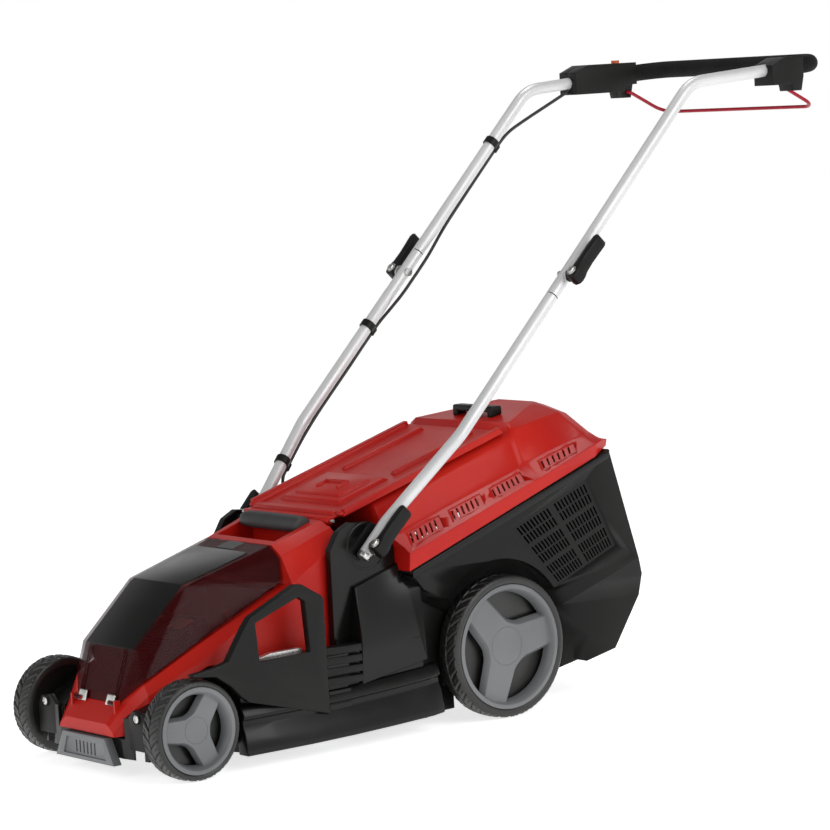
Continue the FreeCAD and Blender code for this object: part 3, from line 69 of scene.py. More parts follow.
def make_camera():
    """The camera at the photograph's angle."""
    look = Vector((-math.sin(CAMERA_YAW) * math.cos(CAMERA_PITCH),
                   math.cos(CAMERA_YAW) * math.cos(CAMERA_PITCH), -math.sin(CAMERA_PITCH)))
    right = look.cross(Vector((0, 0, 1))).normalized()
    up = right.cross(look)
    side = math.cos(CAMERA_ROLL) * right + math.sin(CAMERA_ROLL) * up
    top = math.cos(CAMERA_ROLL) * up - math.sin(CAMERA_ROLL) * right
    data = bpy.data.cameras.new("camera")
    data.lens, data.sensor_width = CAMERA_LENS, 36.0
    data.clip_end = 50.0
    camera = bpy.data.objects.new("camera", data)
    camera.matrix_world = Matrix.Translation(CAMERA_SPOT) @ Matrix((side, top, -look)).transposed().to_4x4()
    bpy.context.scene.collection.objects.link(camera)
    bpy.context.scene.camera = camera


def area_light(name, spot, aim, size, watts):
    data = bpy.data.lights.new(name, "AREA")
    data.shape, data.size, data.energy = "SQUARE", size, watts
    lamp = bpy.data.objects.new(name, data)
    lamp.location = spot
    lamp.rotation_euler = (Vector(aim) - Vector(spot)).to_track_quat("-Z", "Y").to_euler()
    bpy.context.scene.collection.objects.link(lamp)


def make_studio():
    """The pale floor, the world and three soft lights."""
    world = bpy.data.worlds.new("studio")
    world.use_nodes = True
    tree = world.node_tree
    background = tree.nodes["Background"]
    background.inputs["Strength"].default_value = 1.0
    place = tree.nodes.new("ShaderNodeTexCoord")
    split = tree.nodes.new("ShaderNodeSeparateXYZ")
    fall = tree.nodes.new("ShaderNodeMapRange")
    fall.inputs["From Min"].default_value, fall.inputs["From Max"].default_value = 0.10, 0.55
    fall.inputs["To Min"].default_value, fall.inputs["To Max"].default_value = 1.0, 0.22
    tree.links.new(place.outputs["Generated"], split.inputs["Vector"])
    tree.links.new(split.outputs["Z"], fall.inputs["Value"])
    tree.links.new(fall.outputs["Result"], background.inputs["Color"])
    bpy.context.scene.world = world
    bpy.context.scene.view_settings.view_transform = "Standard"
    area_light("key", (3.6, 0.6, 2.3), (0, 0, 0.3), 2.6, 75)
    area_light("front", (0.2, -3.8, 2.0), (0, -0.2, 0.2), 2.0, 30)
    area_light("top", (-0.6, 0.8, 3.4), (0, 0, 0.2), 1.0, 25)
    floor = mesh_object("floor", [Vector((x, y, 0)) for x, y in ((-60, -60), (60, -60), (60, 60), (-60, 60))],
                        [(0, 1, 2, 3)])
    floor.data.materials.append(floor_finish())


# ---- finishes ----------------------------------------------------------------------------------

class Finish:
    """A Principled material and the nodes that vary it over the surface."""

    def __init__(self, name, **sockets):
        self.material = bpy.data.materials.new(name)
        self.material.use_nodes = True
        self.tree = self.material.node_tree
        self.shader = self.tree.nodes["Principled BSDF"]
        for socket, value in sockets.items():
            self.shader.inputs[socket.replace("_", " ")].default_value = value
        self.place = self.node("ShaderNodeTexCoord").outputs["Object"]

    def node(self, kind, **settings):
        made = self.tree.nodes.new(kind)
        for key, value in settings.items():
            setattr(made, key, value)
        return made

    def join(self, source, target):
        self.tree.links.new(source, target)

    def noise(self, scale, detail=3.0, stretch=(1, 1, 1)):
        mapping = self.node("ShaderNodeMapping")
        mapping.inputs["Scale"].default_value = stretch
        self.join(self.place, mapping.inputs["Vector"])
        made = self.node("ShaderNodeTexNoise")
        made.inputs["Scale"].default_value = scale
        made.inputs["Detail"].default_value = detail
        self.join(mapping.outputs["Vector"], made.inputs["Vector"])
        return made.outputs["Fac"]

    def between(self, source, low, high):
        made = self.node("ShaderNodeMapRange")
        made.inputs["To Min"].default_value = low
        made.inputs["To Max"].default_value = high
        made.inputs["From Min"].default_value = 0.3
        made.inputs["From Max"].default_value = 0.7
        self.join(source, made.inputs["Value"])
        return made.outputs["Result"]

    def tint(self, source, dark, light):
        ramp = self.node("ShaderNodeValToRGB")
        ramp.color_ramp.elements[0].color = (*dark, 1)
        ramp.color_ramp.elements[1].color = (*light, 1)
        ramp.color_ramp.elements[0].position = 0.35
        ramp.color_ramp.elements[1].position = 0.65
        self.join(source, ramp.inputs["Fac"])
        self.join(ramp.outputs["Color"], self.shader.inputs["Base Color"])

    def rough(self, source, low, high):
        self.join(self.between(source, low, high), self.shader.inputs["Roughness"])

    def bumps(self, source, height, rounding=0.0):
        bump = self.node("ShaderNodeBump")
        bump.inputs["Distance"].default_value = height
        bump.inputs["Strength"].default_value = 1.0
        self.join(source, bump.inputs["Height"])
        if rounding:
            soft = self.node("ShaderNodeBevel", samples=4)
            soft.inputs["Radius"].default_value = rounding
            self.join(soft.outputs["Normal"], bump.inputs["Normal"])
        self.join(bump.outputs["Normal"], self.shader.inputs["Normal"])


def moulded(name, dark, light, roughness, grain=900.0, height=0.00005, rounding=0.0012, **sockets):
    """Injection-moulded plastic: a fine sparked grain, slow drifts of tone and of gloss."""
    finish = Finish(name, **sockets)
    finish.tint(finish.noise(6.0), dark, light)
    finish.rough(finish.noise(14.0, 4.0), *roughness)
    finish.bumps(finish.noise(grain, 2.0), height, rounding)
    return finish.material


def metal(name, dark, light, roughness, stretch=(1, 1, 1), rounding=0.0006):
    finish = Finish(name, Metallic=1.0)
    finish.tint(finish.noise(30.0, 4.0), dark, light)
    finish.rough(finish.noise(400.0, 4.0, stretch), *roughness)
    finish.bumps(finish.noise(700.0, 3.0, stretch), 0.00002, rounding)
    return finish.material


def floor_finish():
    finish = Finish("studio_floor", Emission_Color=(1, 1, 1, 1), Emission_Strength=0.72)
    finish.tint(finish.noise(0.6), (0.90, 0.90, 0.90), (0.93, 0.93, 0.93))
    finish.rough(finish.noise(3.0), 0.75, 0.85)
    return finish.material


def make_finishes():
    """Every material, by its short name."""
    made = {
        "red": moulded("red_plastic", (0.38, 0.006, 0.004), (0.45, 0.012, 0.006), (0.30, 0.40),
                       height=0.00002, rounding=0.002, Specular_IOR_Level=0.2),
        "black": moulded("black_plastic", (0.003, 0.003, 0.0028), (0.006, 0.0055, 0.005), (0.34, 0.46),
                         rounding=0.0022, Specular_IOR_Level=0.2),
        "gloss_black": moulded("gloss_black_plastic", (0.0025, 0.0025, 0.0023), (0.0045, 0.0042, 0.004),
                               (0.17, 0.26), height=0.00002, rounding=0.0022, Specular_IOR_Level=0.24),
        "grey": moulded("grey_plastic", (0.12, 0.125, 0.13), (0.15, 0.155, 0.16), (0.36, 0.46),
                        Specular_IOR_Level=0.4),
        "bay": moulded("bay_red_plastic", (0.22, 0.003, 0.004), (0.30, 0.005, 0.005), (0.35, 0.45)),
        "handle_grey": moulded("carry_bar_plastic", (0.016, 0.016, 0.017), (0.026, 0.026, 0.028),
                               (0.5, 0.65), grain=500.0, height=0.0001),
        "orange": moulded("catch_plastic", (0.60, 0.09, 0.01), (0.70, 0.12, 0.02), (0.35, 0.45)),
        "rubber": moulded("tyre_rubber", (0.007, 0.007, 0.0065), (0.014, 0.013, 0.012), (0.28, 0.5),
                          grain=420.0, height=0.00012, rounding=0.0008, Specular_IOR_Level=0.5),
        "foam": moulded("foam_rubber", (0.004, 0.004, 0.004), (0.010, 0.010, 0.010), (0.7, 0.85),
                        grain=650.0, height=0.0004, rounding=0.0, Specular_IOR_Level=0.15),
        "cable": moulded("cable_rubber", (0.006, 0.006, 0.006), (0.011, 0.011, 0.011), (0.35, 0.5),
                         rounding=0.0),
        "silver": moulded("silver_powder_coat", (0.56, 0.56, 0.565), (0.63, 0.63, 0.635), (0.34, 0.46),
                          grain=1400.0, height=0.00003, rounding=0.0, Metallic=0.3),
        "dark_red": moulded("bail_coat", (0.26, 0.001, 0.012), (0.33, 0.002, 0.018), (0.28, 0.38),
                            rounding=0.0, Specular_IOR_Level=0.25),
        "zinc": metal("zinc_plate", (0.50, 0.50, 0.50), (0.66, 0.65, 0.62), (0.22, 0.38)),
        "steel": metal("ground_steel", (0.24, 0.25, 0.26), (0.34, 0.35, 0.36), (0.28, 0.5), (1, 18, 1)),
    }
    smoke = Finish("smoked_clear_plastic", Alpha=0.55, Specular_IOR_Level=0.10)
    smoke.tint(smoke.noise(5.0), (0.030, 0.001, 0.002), (0.046, 0.002, 0.003))
    smoke.rough(smoke.noise(9.0), 0.10, 0.18)
    smoke.bumps(smoke.noise(300.0), 0.00001, 0.0015)
    made["smoke"] = smoke.material
    return made


# ---- mesh helpers ------------------------------------------------------------------------------

def mesh_object(name, points, faces):
    """A new object from points and faces, linked to the scene."""
    data = bpy.data.meshes.new(name)
    data.from_pydata([tuple(p) for p in points], [], faces)
    data.validate()
    made = bpy.data.objects.new(name, data)
    bpy.context.scene.collection.objects.link(made)
    return made


def face_outwards(piece):
    """Turns every face of a closed piece to face out."""
    bm = bmesh.new()
    bm.from_mesh(piece.data)
    bmesh.ops.recalc_face_normals(bm, faces=bm.faces)
    bm.to_mesh(piece.data)
    bm.free()


def smooth(piece, degrees=32.0):
    """Shades a piece smooth, apart from edges sharper than an angle."""
    piece.data.shade_smooth()
    piece.data.set_sharp_from_angle(angle=math.radians(degrees))


def settle(piece, finish, body, slot, *replaced):
    """Gives a finished piece its material and body, and hides the CAD nodes that it stands for; slot is not
    used.
    """
    piece.data.materials.clear()
    piece.data.materials.append(FINISH[finish])
    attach(piece, body)
    if replaced:
        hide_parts(*replaced)
    return piece


def bevelled(piece, width, segments=2, degrees=35.0):
    """Rounds the piece's edges with the Bevel modifier, then applies it."""
    modifier = piece.modifiers.new("edges", "BEVEL")
    modifier.width, modifier.segments = width * MM, segments
    modifier.limit_method, modifier.angle_limit = "ANGLE", math.radians(degrees)
    return applied(piece)


def applied(piece):
    """The piece with its modifiers made part of its mesh."""
    graph = bpy.context.evaluated_depsgraph_get()
    data = bpy.data.meshes.new_from_object(piece.evaluated_get(graph))
    piece.modifiers.clear()
    piece.data = data
    return piece


def solid_between(name, lower, upper):
    """A closed piece between two outlines with as many points, given as places in the row's frame."""
    count = len(lower)
    faces = [tuple(reversed(range(count))), tuple(range(count, 2 * count))]
    faces += [(i, (i + 1) % count, count + (i + 1) % count, count + i) for i in range(count)]
    made = mesh_object(name, lower + upper, faces)
    face_outwards(made)
    return made


def plate_x(name, outline, x_low, x_high, shrink=None):
    """The (y, z) outline as a plate along X; shrink gives the outline at its outer face."""
    return solid_between(name, [at(x_low, y, z) for y, z in outline],
                         [at(x_high, y, z) for y, z in shrink or outline])


def joined(name, parts):
    """One object from several, each closed in itself."""
    bm = bmesh.new()
    for part in parts:
        bm.from_mesh(part.data)
        bpy.data.objects.remove(part)
    data = bpy.data.meshes.new(name)
    bm.to_mesh(data)
    bm.free()
    made = bpy.data.objects.new(name, data)
    bpy.context.scene.collection.objects.link(made)
    return made


def mirrored(piece, name):
    """A copy of a piece, mirrored to the other side."""
    made = bpy.data.objects.new(name, piece.data.copy())
    made.data.transform(Matrix.Diagonal((-1, 1, 1, 1)))
    made.data.flip_normals()
    bpy.context.scene.collection.objects.link(made)
    return made


def carved(node, cutters, degrees=28.0):
    """A copy of a CAD node with the cutters taken out of it."""
    source = NODES[node]
    made = bpy.data.objects.new(node + "_detailed", source.data.copy())
    bpy.context.scene.collection.objects.link(made)
    bm = bmesh.new()
    bm.from_mesh(made.data)
    bmesh.ops.remove_doubles(bm, verts=bm.verts, dist=1e-5)
    bm.to_mesh(made.data)
    bm.free()
    tool = joined(node + "_cutters", cutters)
    modifier = made.modifiers.new("cut", "BOOLEAN")
    modifier.operation, modifier.solver, modifier.object = "DIFFERENCE", "EXACT", tool
    modifier.use_self = True
    applied(made)
    bpy.data.objects.remove(tool)
    smooth(made, degrees)
    return made


# ---- wheels ------------------------------------------------------------------------------------

def tread(turn, across, blocks):
    """Depth of the tread's grooves, 0 to 1, at a place round and across the tyre."""
    half = abs(2 * across - 1)
    lean = 0.85 * half ** 0.8 + (0.5 if across > 0.5 else 0.0)
    phase = (turn * blocks + lean) % 1.0
    slant = max(0.0, 1 - abs(phase - 0.5) / 0.13)
    sipe = max(0.0, 1 - abs((phase + 0.42) % 1.0 - 0.5) / 0.05) * 0.5 * (half > 0.35)
    centre = max(0.0, 1 - half / 0.07) * 0.8
    return min(1.0, 1.6 * max(slant * (half > 0.05), sipe, centre))


def tyre(name, side, centre, face, radius, seat, blocks):
    """The black wheel: tyre with blocks, side walls, web disc and hub."""
    width = 42.0
    back = face - width
    shoulder = [(back, radius - 6.0), (back + 2.0, radius - 2.6)]
    crown = [(back + 3.5 + (width - 7.0) * k / 22.0, k / 22.0) for k in range(23)]
    wall = [(face - 2.0, radius - 2.6), (face, radius - 6.0), (face, seat + 3.0), (face - 1.5, seat + 1.0),
            (face - 27.0, seat - 0.5), (face - 28.0, 20.0), (face - 25.0, 17.0), (face - 25.0, 0.1),
            (face - 27.2, 0.1), (back + 6.0, 16.0), (face - 33.0, 18.0), (face - 33.0, seat - 3.0),
            (back, seat - 3.0)]
    steps = blocks * 12
    points, faces = [], []
    for step in range(steps):
        angle = 2 * math.pi * step / steps
        ring = list(shoulder)
        for x, across in crown:
            swell = 1.2 * (1 - (2 * across - 1) ** 2)
            ring.append((x, radius - 1.2 + swell - 2.6 * tread(step / steps, across, blocks)))
        ring += wall
        points += [at(side * x, centre[0] + r * math.cos(angle), centre[1] + r * math.sin(angle))
                   for x, r in ring]
    size = len(ring)
    for step in range(steps):
        following = (step + 1) % steps
        for k in range(size):
            after = (k + 1) % size
            corners = (step * size + k, step * size + after, following * size + after, following * size + k)
            faces.append(corners if side < 0 else corners[::-1])
    made = mesh_object(name, points, faces)
    smooth(made, 40.0)
    return made


def three_spokes(half_width, reach, turn, corner):
    """Outline of three wide spokes that meet at the hub, with rounded inner corners."""
    outline = []
    for spoke in range(3):
        angle = math.radians(turn + 120 * spoke)
        swing = math.asin(half_width / reach)
        for k in range(5):
            bend = angle - swing + 2 * swing * k / 4
            outline.append((reach * math.cos(bend), reach * math.sin(bend)))
        valley = angle + math.pi / 3
        for share in (-1, -0.45, 0.45, 1):
            far = 2 * half_width / math.sqrt(3) + corner * (0.55 + 0.25 * abs(share) ** 2)
            bend = valley + share * corner / far * 0.8
            outline.append((far * math.cos(bend), far * math.sin(bend)))
    return outline


def ring_profile(name, side, centre, profile, steps=96):
    """A turned ring from a closed (x, r) profile."""
    points, faces = [], []
    size = len(profile)
    for step in range(steps):
        angle = 2 * math.pi * step / steps
        points += [at(side * x, centre[0] + r * math.cos(angle), centre[1] + r * math.sin(angle))
                   for x, r in profile]
        following = (step + 1) % steps
        for k in range(size):
            after = (k + 1) % size
            corners = (step * size + k, step * size + after, following * size + after, following * size + k)
            faces.append(corners if side < 0 else corners[::-1])
    return mesh_object(name, points, faces)


def wheel_cover(name, side, centre, face, seat, turn):
    """The grey clipped cover: rim ring, dished wall, three wide spokes and a faint hub circle."""
    ring = ring_profile(name + "_ring", side, centre, [
        (face - 0.6, seat + 0.4), (face, seat - 1.2), (face, seat - 5.6), (face - 1.4, seat - 7.4),
        (face - 12.0, seat - 11.5), (face - 20.0, seat - 12.5), (face - 20.0, seat - 10.0),
        (face - 12.0, seat - 8.8), (face - 3.6, seat - 4.6), (face - 24.0, seat - 2.2),
        (face - 24.0, seat)])
    half = seat * 0.30
    low, high = face - 18.0, face - 7.5
    outer = three_spokes(half, seat - 9.5, turn, seat * 0.16)
    inner = three_spokes(half - seat * 0.075, seat - 7.4, turn, seat * 0.20)
    spokes = solid_between(name + "_spokes",
                           [at(side * low, centre[0] + y, centre[1] + z) for y, z in outer],
                           [at(side * high, centre[0] + y, centre[1] + z) for y, z in inner])
    bevelled(spokes, 1.0, 3, 25.0)
    hub = ring_profile(name + "_hub", side, centre, [
        (high + 0.35, seat * 0.315), (high + 0.35, seat * 0.30),
        (high - 1.5, seat * 0.30), (high - 1.5, seat * 0.315)])
    made = joined(name, [ring, spokes, hub])
    smooth(made, 35.0)
    return made


def make_wheels():
    """Tyres and covers for the four wheels."""
    for place, centre, radius, seat, face, blocks, turn in (
            ("front", (0.0, 75.0), 75.0, 64.4, 200.0, 26, 55.0),
            ("rear", (589.0, 112.5), 112.5, 97.6, 208.0, 34, 10.0)):
        for side, hand in ((1, "left"), (-1, "right")):
            name = f"{place}_{hand}"
            body = f"{name}_roller"
            settle(tyre(name + "_tyre", side, centre, face, radius, seat, blocks), "rubber", body,
                   "wheel_black", name + "_wheel")
            settle(wheel_cover(name + "_cover", side, centre, face, seat, turn), "grey", body,
                   "cover_grey", name + "_wheel_cover")


# ---- grass box ---------------------------------------------------------------------------------

def box_edge(y):
    """Height of the seam between the grass box's lid and body."""
    return 254.0 + (y - 413.0) * 0.342


SIDE_LOW = ((400.0, 193.0, 278.0), (672.0, 193.0, 365.0), (800.0, 193.0, 407.0))
SIDE_HIGH = ((400.0, 152.0, 306.0), (672.0, 152.0, 381.0), (682.0, 152.0, 388.0), (800.0, 164.0, 422.0))


def along_line(stations, y):
    """The place at y on a line of (y, x, z) stations."""
    for (y0, x0, z0), (y1, x1, z1) in zip(stations, stations[1:]):
        if y <= y1:
            share = (y - y0) / (y1 - y0)
            return Vector((x0 + (x1 - x0) * share, y, z0 + (z1 - z0) * share))
    return Vector((stations[-1][1], y, stations[-1][2]))


def side_frame(y, z_share):
    """A place on the lid's sloping side, z_share of the way from its bevel (0) to its ridge (1)."""
    return along_line(SIDE_LOW, y).lerp(along_line(SIDE_HIGH, y), z_share)


def box_from_corners(name, corners, normal, down, up):
    """A block over four corners, from down below the surface to up above it."""
    lower = [at(*(c - normal * down)) for c in corners]
    upper = [at(*(c + normal * up)) for c in corners]
    return solid_between(name, lower, upper)


def lid_cutters(side):
    """Louvred panels along one sloping side of the lid: shallow recesses with slanted slots."""
    cutters = []
    lean = 9.0
    flip = Matrix.Diagonal((side, 1, 1))
    for start, length in ((424.0, 66.0), (508.0, 66.0), (592.0, 66.0), (694.0, 72.0)):
        corners = [side_frame(start, 0.22), side_frame(start + length, 0.22),
                   side_frame(start + length + lean, 0.80), side_frame(start + lean, 0.80)]
        normal = (corners[1] - corners[0]).cross(corners[3] - corners[0]).normalized()
        normal = normal if normal.z > 0 else -normal
        cutters.append(box_from_corners("recess", [flip @ c for c in corners], flip @ normal, 1.4, 3.0))
        for slot in range(6):
            first = start + 6.0 + slot * (length - 8.0) / 6
            ends = [side_frame(first, 0.32), side_frame(first + 3.0, 0.32),
                    side_frame(first + 3.0 + lean * 0.8, 0.72), side_frame(first + lean * 0.8, 0.72)]
            cutters.append(box_from_corners("slot", [flip @ c for c in ends], flip @ normal, 6.0, 3.0))
    return cutters


def make_lid_top():
    """The grass box's red lid, with its louvres cut."""
    made = carved("grass_box_lid", lid_cutters(1) + lid_cutters(-1), 18.0)
    settle(made, "red", "grass_box", "hood_red", "grass_box_lid")


def grille_cutters(side):
    """Two columns of three blocks, each two rows of upright slots, in a shallow panel."""
    cutters = []

    def spot(u, v):
        """A place on the side wall: u rearwards and v upwards, both from 0 to 1."""
        low_y, high_y = 712.0 + (837.0 - 712.0) * u, 623.0 + (783.0 - 623.0) * u
        low_z, high_z = 191.0 + (239.0 - 191.0) * u, 296.0 + (354.0 - 296.0) * u
        return Vector((side * 187.0, low_y + (high_y - low_y) * v, low_z + (high_z - low_z) * v))

    normal = Vector((side, 0, 0))
    panel = [spot(0, 0), spot(1, 0), spot(1, 1), spot(0, 1)]
    cutters.append(box_from_corners("panel", panel, normal, 0.9, 3.0))
    for column in range(2):
        for block in range(3):
            for row in range(2):
                low = 0.035 + block * 0.325 + row * 0.142
                high = low + 0.122
                for slot in range(10):
                    first = 0.03 + column * 0.5 + slot * 0.044
                    corners = [spot(first, low), spot(first + 0.021, low), spot(first + 0.021, high),
                               spot(first, high)]
                    cutters.append(box_from_corners("slot", corners, normal, 6.0, 3.0))
    return cutters


def make_box_body():
    """The grass box's body, with its side grilles cut."""
    made = carved("grass_box_body", grille_cutters(1) + grille_cutters(-1))
    settle(made, "black", "grass_box", "black_plastic", "grass_box_body")
    for side, hand in ((1, "left"), (-1, "right")):
        outline = [(420.0, box_edge(420.0) - 15.0), (828.0, box_edge(828.0) - 15.0),
                   (832.0, box_edge(832.0) - 2.6), (418.0, box_edge(418.0) - 2.6)]
        low, high = sorted((side * 186.5, side * 191.0))
        flange = plate_x(f"box_flange_{hand}", outline, low, high)
        bevelled(flange, 1.6, 3)
        smooth(flange)
        settle(flange, "gloss_black", "grass_box", "black_plastic")


# ---- rear flap ---------------------------------------------------------------------------------

FLAP_HINGE = (326.0, 338.0)
FLAP_SLOPE = math.radians(16.0)


def on_flap(x, along, up):
    """A place over the flap: along it from its hinge and up from its top face."""
    y = FLAP_HINGE[0] + along * math.cos(FLAP_SLOPE) - (up + 4.0) * math.sin(FLAP_SLOPE)
    z = FLAP_HINGE[1] + along * math.sin(FLAP_SLOPE) + (up + 4.0) * math.cos(FLAP_SLOPE)
    return at(x, y, z)


def flap_block(name, low, high, up, inset=2.0):
    """A raised pad on the flap with sloping sides: (x, along) corners and its height."""
    (x0, a0), (x1, a1) = low, high
    lower = [on_flap(x, a, -0.5) for x, a in ((x0, a0), (x1, a0), (x1, a1), (x0, a1))]
    upper = [on_flap(x, a, up) for x, a in ((x0 + inset, a0 + inset), (x1 - inset, a0 + inset),
                                            (x1 - inset, a1 - inset), (x0 + inset, a1 - inset))]
    return solid_between(name, lower, upper)


def make_flap():
    """Raised rims, a stepped panel with a finger pull and two long ribs on the flap."""
    pads = [flap_block("rim_left", (108, 14), (121, 346), 5.0, 3.0),
            flap_block("rim_right", (-121, 14), (-108, 346), 5.0, 3.0),
            flap_block("rim_front", (-106, 10), (106, 26), 4.0, 3.0),
            flap_block("panel", (-78, 44), (78, 150), 6.0, 6.0),
            flap_block("panel_step", (-60, 60), (60, 132), 9.0, 4.0),
            flap_block("pull_left", (-30, 84), (-24, 110), 12.0, 1.0),
            flap_block("pull_right", (24, 84), (30, 110), 12.0, 1.0),
            flap_block("pull_bar", (-30, 104), (30, 112), 13.0, 1.5),
            flap_block("rib_left", (58, 168), (70, 340), 5.0, 3.0),
            flap_block("rib_right", (-70, 168), (-58, 340), 5.0, 3.0)]
    detail = joined("flap_detail", pads)
    bevelled(detail, 1.2, 2, 30.0)
    smooth(detail)
    settle(detail, "red", "flap", "hood_red")


# ---- deck sides --------------------------------------------------------------------------------

def both_hands(build, name, finish, body, slot):
    """Makes the left piece and its mirror image, finished alike."""
    left = build(f"{name}_left")
    settle(mirrored(left, f"{name}_right"), finish, body, slot)
    settle(left, finish, body, slot)


def dome(name):
    """The round boss behind the handle's foot, dished round its rim."""
    profile = [(140.0, 0.2), (140.0, 37.5), (154.0, 37.5), (156.2, 36.9), (156.8, 35.6), (156.8, 33.6),
               (156.3, 32.6), (156.3, 0.2)]
    made = ring_profile(name, 1, (357.0, 299.0), profile)
    smooth(made, 40.0)
    return made


def tower_skin(name):
    """The tower's outer skin: a sloping facet that leans out over an upright one."""
    inner_x = 150.0
    corners = [(190, 311, 94), (189.5, 316, 166), (163, 327, 240),
               (158, 424, 268), (186, 436, 226), (190, 439, 114)]
    face = [at(*corner) for corner in corners]
    back = [at(inner_x, y, z) for _, y, z in corners]
    made = solid_between(name, back, face)
    bevelled(made, 2.0, 3, 12.0)
    smooth(made, 25.0)
    return made


def louvres(name):
    """Four slats between the side grip and the tower, stacked like a vent."""
    slats = []
    for number in range(4):
        low = 101.0 + number * 15.6
        outline = [(240.0, low), (309.0, low - 1.5), (309.0, low + 12.5), (240.0, low + 14.0)]
        slats.append(plate_x("slat", outline, 180.0, 195.2,
                             [(y, z + (1.5 if z < low + 6 else -1.5)) for y, z in outline]))
    made = joined(name, slats)
    bevelled(made, 1.0, 2)
    smooth(made)
    return made


def skirt(name):
    """The deck's skirt: a glossy shelf, a rolled bead and a flared lip that rises to the rear."""
    stations = [(84, 0.0, 0.0), (140, 0.6, 0.0), (200, 1.0, 0.0), (280, 1.0, 1.0),
                (360, 1.0, 4.0), (434, 0.9, 8.0), (456, 0.5, 11.0)]
    rings = []
    for y, bulge, lift in stations:
        flare = 10.0 + 5.0 * bulge
        section = [(176, 96 + lift), (187, 95 + lift), (190, 92 + lift), (191 + flare * 0.35, 84 + lift),
                   (191 + flare * 0.45, 78 + lift), (188 + flare * 0.3, 74 + lift),
                   (188 + flare * 0.3, 66 + lift), (190 + flare * 0.6, 54 + lift),
                   (190 + flare, 34 + lift * 0.7), (191 + flare, 25 + lift * 0.6),
                   (189 + flare, 22.5 + lift * 0.6), (176, 22.5 + lift * 0.6)]
        rings.append([at(x, y, z) for x, z in section])
    size = len(rings[0])
    points = [p for ring in rings for p in ring]
    faces = [tuple(range(size)), tuple(reversed(range(len(points) - size, len(points))))]
    for k in range(len(rings) - 1):
        for i in range(size):
            j = (i + 1) % size
            faces.append((k * size + i, (k + 1) * size + i, (k + 1) * size + j, k * size + j))
    made = mesh_object(name, points, faces)
    face_outwards(made)
    bevelled(made, 1.4, 3, 25.0)
    smooth(made, 28.0)
    return made


def make_deck_sides():
    """The pieces that dress both sides of the deck."""
    both_hands(dome, "tower_dome", "gloss_black", "chassis", "black_plastic")
    both_hands(tower_skin, "tower_skin", "gloss_black", "chassis", "black_plastic")
    both_hands(louvres, "side_louvres", "black", "chassis", "black_plastic")
    both_hands(skirt, "deck_skirt", "gloss_black", "chassis", "black_plastic")


# ---- battery lid -------------------------------------------------------------------------------

LID_SPINE = ((-17.6, 184.0, 65.0), (76.0, 269.0, 66.0), (196.0, 302.5, 72.0))


def lid_plate(name, spine, up, margin):
    """A bent plate over the lid's middle faces, from (y, z, half width) stations."""
    lower, upper = [], []
    for k, (y, z, half) in enumerate(spine):
        before, after = spine[max(k - 1, 0)], spine[min(k + 1, len(spine) - 1)]
        run = Vector((after[0] - before[0], after[1] - before[1])).normalized()
        rise = Vector((-run.y, run.x))
        for side in (-1, 1):
            lower.append(at(side * half, y + rise.x * 0.1, z + rise.y * 0.1))
            upper.append(at(side * (half - margin), y + rise.x * up, z + rise.y * up))
    count = len(lower)
    faces = [(0, 1, count + 1, count), (count - 2, count - 1, 2 * count - 1, 2 * count - 2)]
    for k in range(len(spine) - 1):
        a, b, c, d = 2 * k, 2 * k + 1, 2 * k + 3, 2 * k + 2
        faces += [(a, b, c, d), (count + a, count + b, count + c, count + d),
                  (a, d, count + d, count + a), (b, c, count + c, count + b)]
    made = mesh_object(name, lower + upper, faces)
    face_outwards(made)
    return made


def make_lid_details():
    """The opaque middle panel of the clear lid, its side ribs and its plated hinge tabs."""
    panel = lid_plate("lid_panel", LID_SPINE, 1.6, 1.5)
    bevelled(panel, 0.6, 2, 20.0)
    smooth(panel, 20.0)
    settle(panel, "gloss_black", "lid", "lid_smoke")
    nose_bars = [solid_between("bar", [at(x - 1.2, -44.2, 108), at(x + 1.2, -44.2, 108),
                                       at(x + 1.2, -17.6, 184), at(x - 1.2, -17.6, 184)],
                               [at(x - 0.8, -45.8, 108.8), at(x + 0.8, -45.8, 108.8),
                                at(x + 0.8, -19.2, 184.8), at(x - 0.8, -19.2, 184.8)])
                 for x in (-50, -44, 44, 50)]
    bars = joined("lid_nose_bars", nose_bars)
    smooth(bars)
    settle(bars, "smoke", "lid", "lid_smoke")
    tabs = []
    for x in (-38.0, 38.0):
        tabs.append(solid_between("tab", [at(x - 11, -48.5, 103.0), at(x + 11, -48.5, 103.0),
                                          at(x + 10, -43.0, 119.0), at(x - 10, -43.0, 119.0)],
                                  [at(x - 10, -50.4, 104.0), at(x + 10, -50.4, 104.0),
                                   at(x + 9, -45.2, 118.5), at(x - 9, -45.2, 118.5)]))
    tab = joined("lid_hinge_tabs", tabs)
    bevelled(tab, 0.5, 2)
    smooth(tab)
    settle(tab, "zinc", "lid", "zinc")


